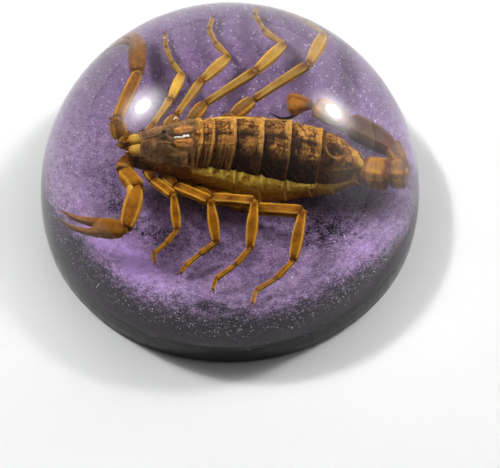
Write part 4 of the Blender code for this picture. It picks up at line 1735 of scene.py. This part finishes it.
def build_floor(studio):
    """A plain pale floor."""
    mesh = bpy.data.meshes.new("floor")
    corners = [(FLOOR_HALF * x, FLOOR_HALF * y, 0) for x, y in ((-1, -1), (1, -1), (1, 1), (-1, 1))]
    mesh.from_pydata(corners, [], [(0, 1, 2, 3)])
    material, tree, shader, where = new_material("floor")
    fleck = noise_at(tree, where, 30.0)
    pale = tuple(studio.floor)
    set_sockets(tree, shader, {
        "Base Color": mixed(tree, fleck, pale, tuple(0.98 * c for c in pale)),
        "Roughness": 0.9,
    })
    mesh.materials.append(material)
    floor = bpy.data.objects.new("floor", mesh)
    bpy.context.scene.collection.objects.link(floor)


# Room light from straight down, 0, to straight up, 1
SKY_STOPS = ((0.0, 1.0), (0.36, 0.9), (0.5, 0.35), (1.0, 0.26))


def build_room(studio):
    """Room light: white walls on three sides, a dimmer ceiling, and dark behind the camera."""
    world = bpy.data.worlds.new("room")
    bpy.context.scene.world = world
    world.use_nodes = True
    tree = world.node_tree
    direction = node(tree, "ShaderNodeTexCoord").outputs["Generated"]
    toward = node(tree, "ShaderNodeSeparateXYZ", {0: direction}).outputs
    ramp = node(tree, "ShaderNodeValToRGB", {0: toward[2]})
    stops = ramp.color_ramp.elements
    while len(stops) < len(SKY_STOPS):
        stops.new(0.5)
    for stop, (place, light) in zip(stops, SKY_STOPS):
        stop.position = place
        stop.color = (light, light, light, 1)
    world.cycles_visibility.transmission = False
    background = tree.nodes["Background"]
    tree.links.new(ramp.outputs[0], background.inputs[0])
    behind_camera = spread(tree, toward[1], -0.6, 0.1, 0.05 * studio.sky, studio.sky)
    right_wall = spread(tree, toward[0], -0.9, 0.9, 0.6, 1.9)
    tree.links.new(maths(tree, "MULTIPLY", behind_camera, right_wall), background.inputs[1])


# Direction from the dome, distance, width and height in metres, and the height that they are aimed at.
# The bright core is a share of the lamp's width.
LAMPS = {
    "softbox_left": ((-0.688, 0.401, 0.605), 0.6, 0.43, 0.48),
    "softbox_right": ((0.785, 0.423, 0.454), 0.6, 0.40, 0.48),
}
HOT_CORE = 0.060
LAMP_AIM = 0.01


def build_lamp(name, studio):
    """A softbox that is brightest in its middle."""
    direction, distance, width, height = LAMPS[name]
    lamp = bpy.data.lights.new(name, "AREA")
    lamp.shape = "ELLIPSE"
    lamp.size = width
    lamp.size_y = height
    lamp.energy = studio.lamp * math.pi * math.pi * width * height / 4
    lamp.use_nodes = True
    tree = lamp.node_tree
    place = node(tree, "ShaderNodeNewGeometry").outputs["Parametric"]
    sockets = {0: place, 1: (0.5, 0.5, 0.0)}
    gap = node(tree, "ShaderNodeVectorMath", sockets, operation="DISTANCE").outputs["Value"]
    core = spread(tree, gap, HOT_CORE * 0.3, HOT_CORE * 2.0, 1.0, 0.0)
    skirt = maths(tree, "POWER", spread(tree, gap, 0.0, 0.5, 0.43, 0.0), 2.5)
    light = maths(tree, "MAXIMUM", core, skirt)
    tree.links.new(light, tree.nodes["Emission"].inputs["Strength"])
    obj = bpy.data.objects.new(name, lamp)
    bpy.context.scene.collection.objects.link(obj)
    toward = Vector(direction).normalized()
    obj.location = Vector((0, 0, LAMP_AIM)) + toward * distance
    obj.rotation_euler = toward.to_track_quat("Z", "Y").to_euler()


# ------------------------------------------------------------------ operators


class OBJECT_OT_dome_resin(Operator):
    """Make the clear resin dome"""

    bl_idname = "object.dome_resin"
    bl_label = "Resin dome"

    def execute(self, context):
        build_dome(context.scene.dome_resin)
        return {"FINISHED"}


class OBJECT_OT_dome_glitter(Operator):
    """Make the glitter bed and its loose flakes"""

    bl_idname = "object.dome_glitter"
    bl_label = "Glitter"

    def execute(self, context):
        glitter = context.scene.dome_glitter
        build_bed(glitter)
        width = glitter.flake / MM
        violet = flake_finish("violet foil", glitter.lilac, glitter.violet, glitter.painted_caustic, 0.3)
        silver = flake_finish("silver foil", glitter.silver, glitter.lilac, glitter.painted_caustic, 0.8)
        build_flakes("violet_flakes", violet, glitter.violet_count, width,
                     lift=0.6, stray=0.08, sunk=0.0, seed=11)
        build_flakes("silver_flakes", silver, glitter.silver_count, width * 0.9,
                     lift=1.6, stray=0.6, sunk=0.6, seed=12)
        return {"FINISHED"}


class OBJECT_OT_dome_base(Operator):
    """Finish the black base in polished resin"""

    bl_idname = "object.dome_base"
    bl_label = "Black base"

    def execute(self, context):
        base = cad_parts["black_base"]
        base.data.materials.clear()
        base.data.materials.append(black_resin(context.scene.dome_resin))
        return {"FINISHED"}


class OBJECT_OT_scorpion_back(Operator):
    """Make the seven back plates"""

    bl_idname = "object.scorpion_back"
    bl_label = "Back plates"

    def execute(self, context):
        for number in range(1, LAST_PLATE + 1):
            build_tergite(number, context.scene.scorpion)
        return {"FINISHED"}


class OBJECT_OT_scorpion_belly(Operator):
    """Make the soft flanks, the belly plates, the breastbone and the combs"""

    bl_idname = "object.scorpion_belly"
    bl_label = "Flanks and belly"

    def execute(self, context):
        build_pleura(context.scene.scorpion)
        build_sternites(context.scene.scorpion)
        build_underside(context.scene.scorpion)
        return {"FINISHED"}


class OBJECT_OT_scorpion_head(Operator):
    """Make the head shield, the eyes and the jaws"""

    bl_idname = "object.scorpion_head"
    bl_label = "Head"

    def execute(self, context):
        build_carapace(context.scene.scorpion)
        build_eyes(context.scene.scorpion)
        build_chelicerae(context.scene.scorpion)
        return {"FINISHED"}


class OBJECT_OT_scorpion_legs(Operator):
    """Make the eight legs"""

    bl_idname = "object.scorpion_legs"
    bl_label = "Legs"

    def execute(self, context):
        for name in LEGS:
            build_leg(name, LEG_GIRTH[int(name[-1]) - 1], context.scene.scorpion)
        return {"FINISHED"}


class OBJECT_OT_scorpion_arms(Operator):
    """Make the two arms with their claws"""

    bl_idname = "object.scorpion_arms"
    bl_label = "Arms and claws"

    def execute(self, context):
        for name in ARMS:
            build_pedipalp(name, context.scene.scorpion)
        return {"FINISHED"}


class OBJECT_OT_scorpion_tail(Operator):
    """Make the five tail rings, the bulb and the sting"""

    bl_idname = "object.scorpion_tail"
    bl_label = "Tail and sting"

    def execute(self, context):
        for number in range(1, 6):
            build_tail_segment(number, context.scene.scorpion)
        build_sting(context.scene.scorpion)
        return {"FINISHED"}


class OBJECT_OT_dome_air(Operator):
    """Make the films of air trapped on the shell, painted white as their glint"""

    bl_idname = "object.dome_air"
    bl_label = "Air films"

    def execute(self, context):
        build_air_films(context.scene.dome_resin)
        return {"FINISHED"}


class OBJECT_OT_dome_stage(Operator):
    """Make the floor, the room light, the softboxes and the camera"""

    bl_idname = "object.dome_stage"
    bl_label = "Stage"

    def execute(self, context):
        studio = context.scene.dome_studio
        build_floor(studio)
        build_room(studio)
        for name in LAMPS:
            build_lamp(name, studio)
        build_camera(studio)
        context.scene.view_settings.view_transform = "Standard"
        return {"FINISHED"}


OPERATORS = (
    OBJECT_OT_dome_stage,
    OBJECT_OT_dome_resin,
    OBJECT_OT_dome_glitter,
    OBJECT_OT_dome_base,
    OBJECT_OT_scorpion_belly,
    OBJECT_OT_scorpion_back,
    OBJECT_OT_scorpion_head,
    OBJECT_OT_scorpion_legs,
    OBJECT_OT_scorpion_arms,
    OBJECT_OT_scorpion_tail,
    OBJECT_OT_dome_air,
)
SETTINGS = {
    "dome_resin": ResinSettings,
    "dome_glitter": GlitterSettings,
    "scorpion": ScorpionSettings,
    "dome_studio": StudioSettings,
}


class VIEW3D_PT_scorpion_dome(Panel):
    """Settings and buttons, in the order of making"""

    bl_idname = "VIEW3D_PT_scorpion_dome"
    bl_label = "Scorpion dome"
    bl_space_type = "VIEW_3D"
    bl_region_type = "UI"
    bl_category = "Scorpion"

    def draw(self, context):
        for name in SETTINGS:
            group = getattr(context.scene, name)
            box = self.layout.box()
            for setting in group.bl_rna.properties:
                if setting.identifier not in ("rna_type", "name"):
                    box.prop(group, setting.identifier)
        for operator in OPERATORS:
            self.layout.operator(operator.bl_idname)


def register():
    """Adds the settings, operators and panel."""
    for name, group in SETTINGS.items():
        bpy.utils.register_class(group)
        setattr(bpy.types.Scene, name, PointerProperty(type=group))
    for operator in OPERATORS:
        bpy.utils.register_class(operator)
    bpy.utils.register_class(VIEW3D_PT_scorpion_dome)


def unregister():
    """Takes the panel, operators and settings away."""
    bpy.utils.unregister_class(VIEW3D_PT_scorpion_dome)
    for operator in reversed(OPERATORS):
        bpy.utils.unregister_class(operator)
    for name, group in SETTINGS.items():
        delattr(bpy.types.Scene, name)
        bpy.utils.unregister_class(group)


def main():
    """Makes everything in order."""
    register()
    for operator in OPERATORS:
        family, name = operator.bl_idname.split(".")
        getattr(getattr(bpy.ops, family), name)()


if __name__ == "__main__":
    main()
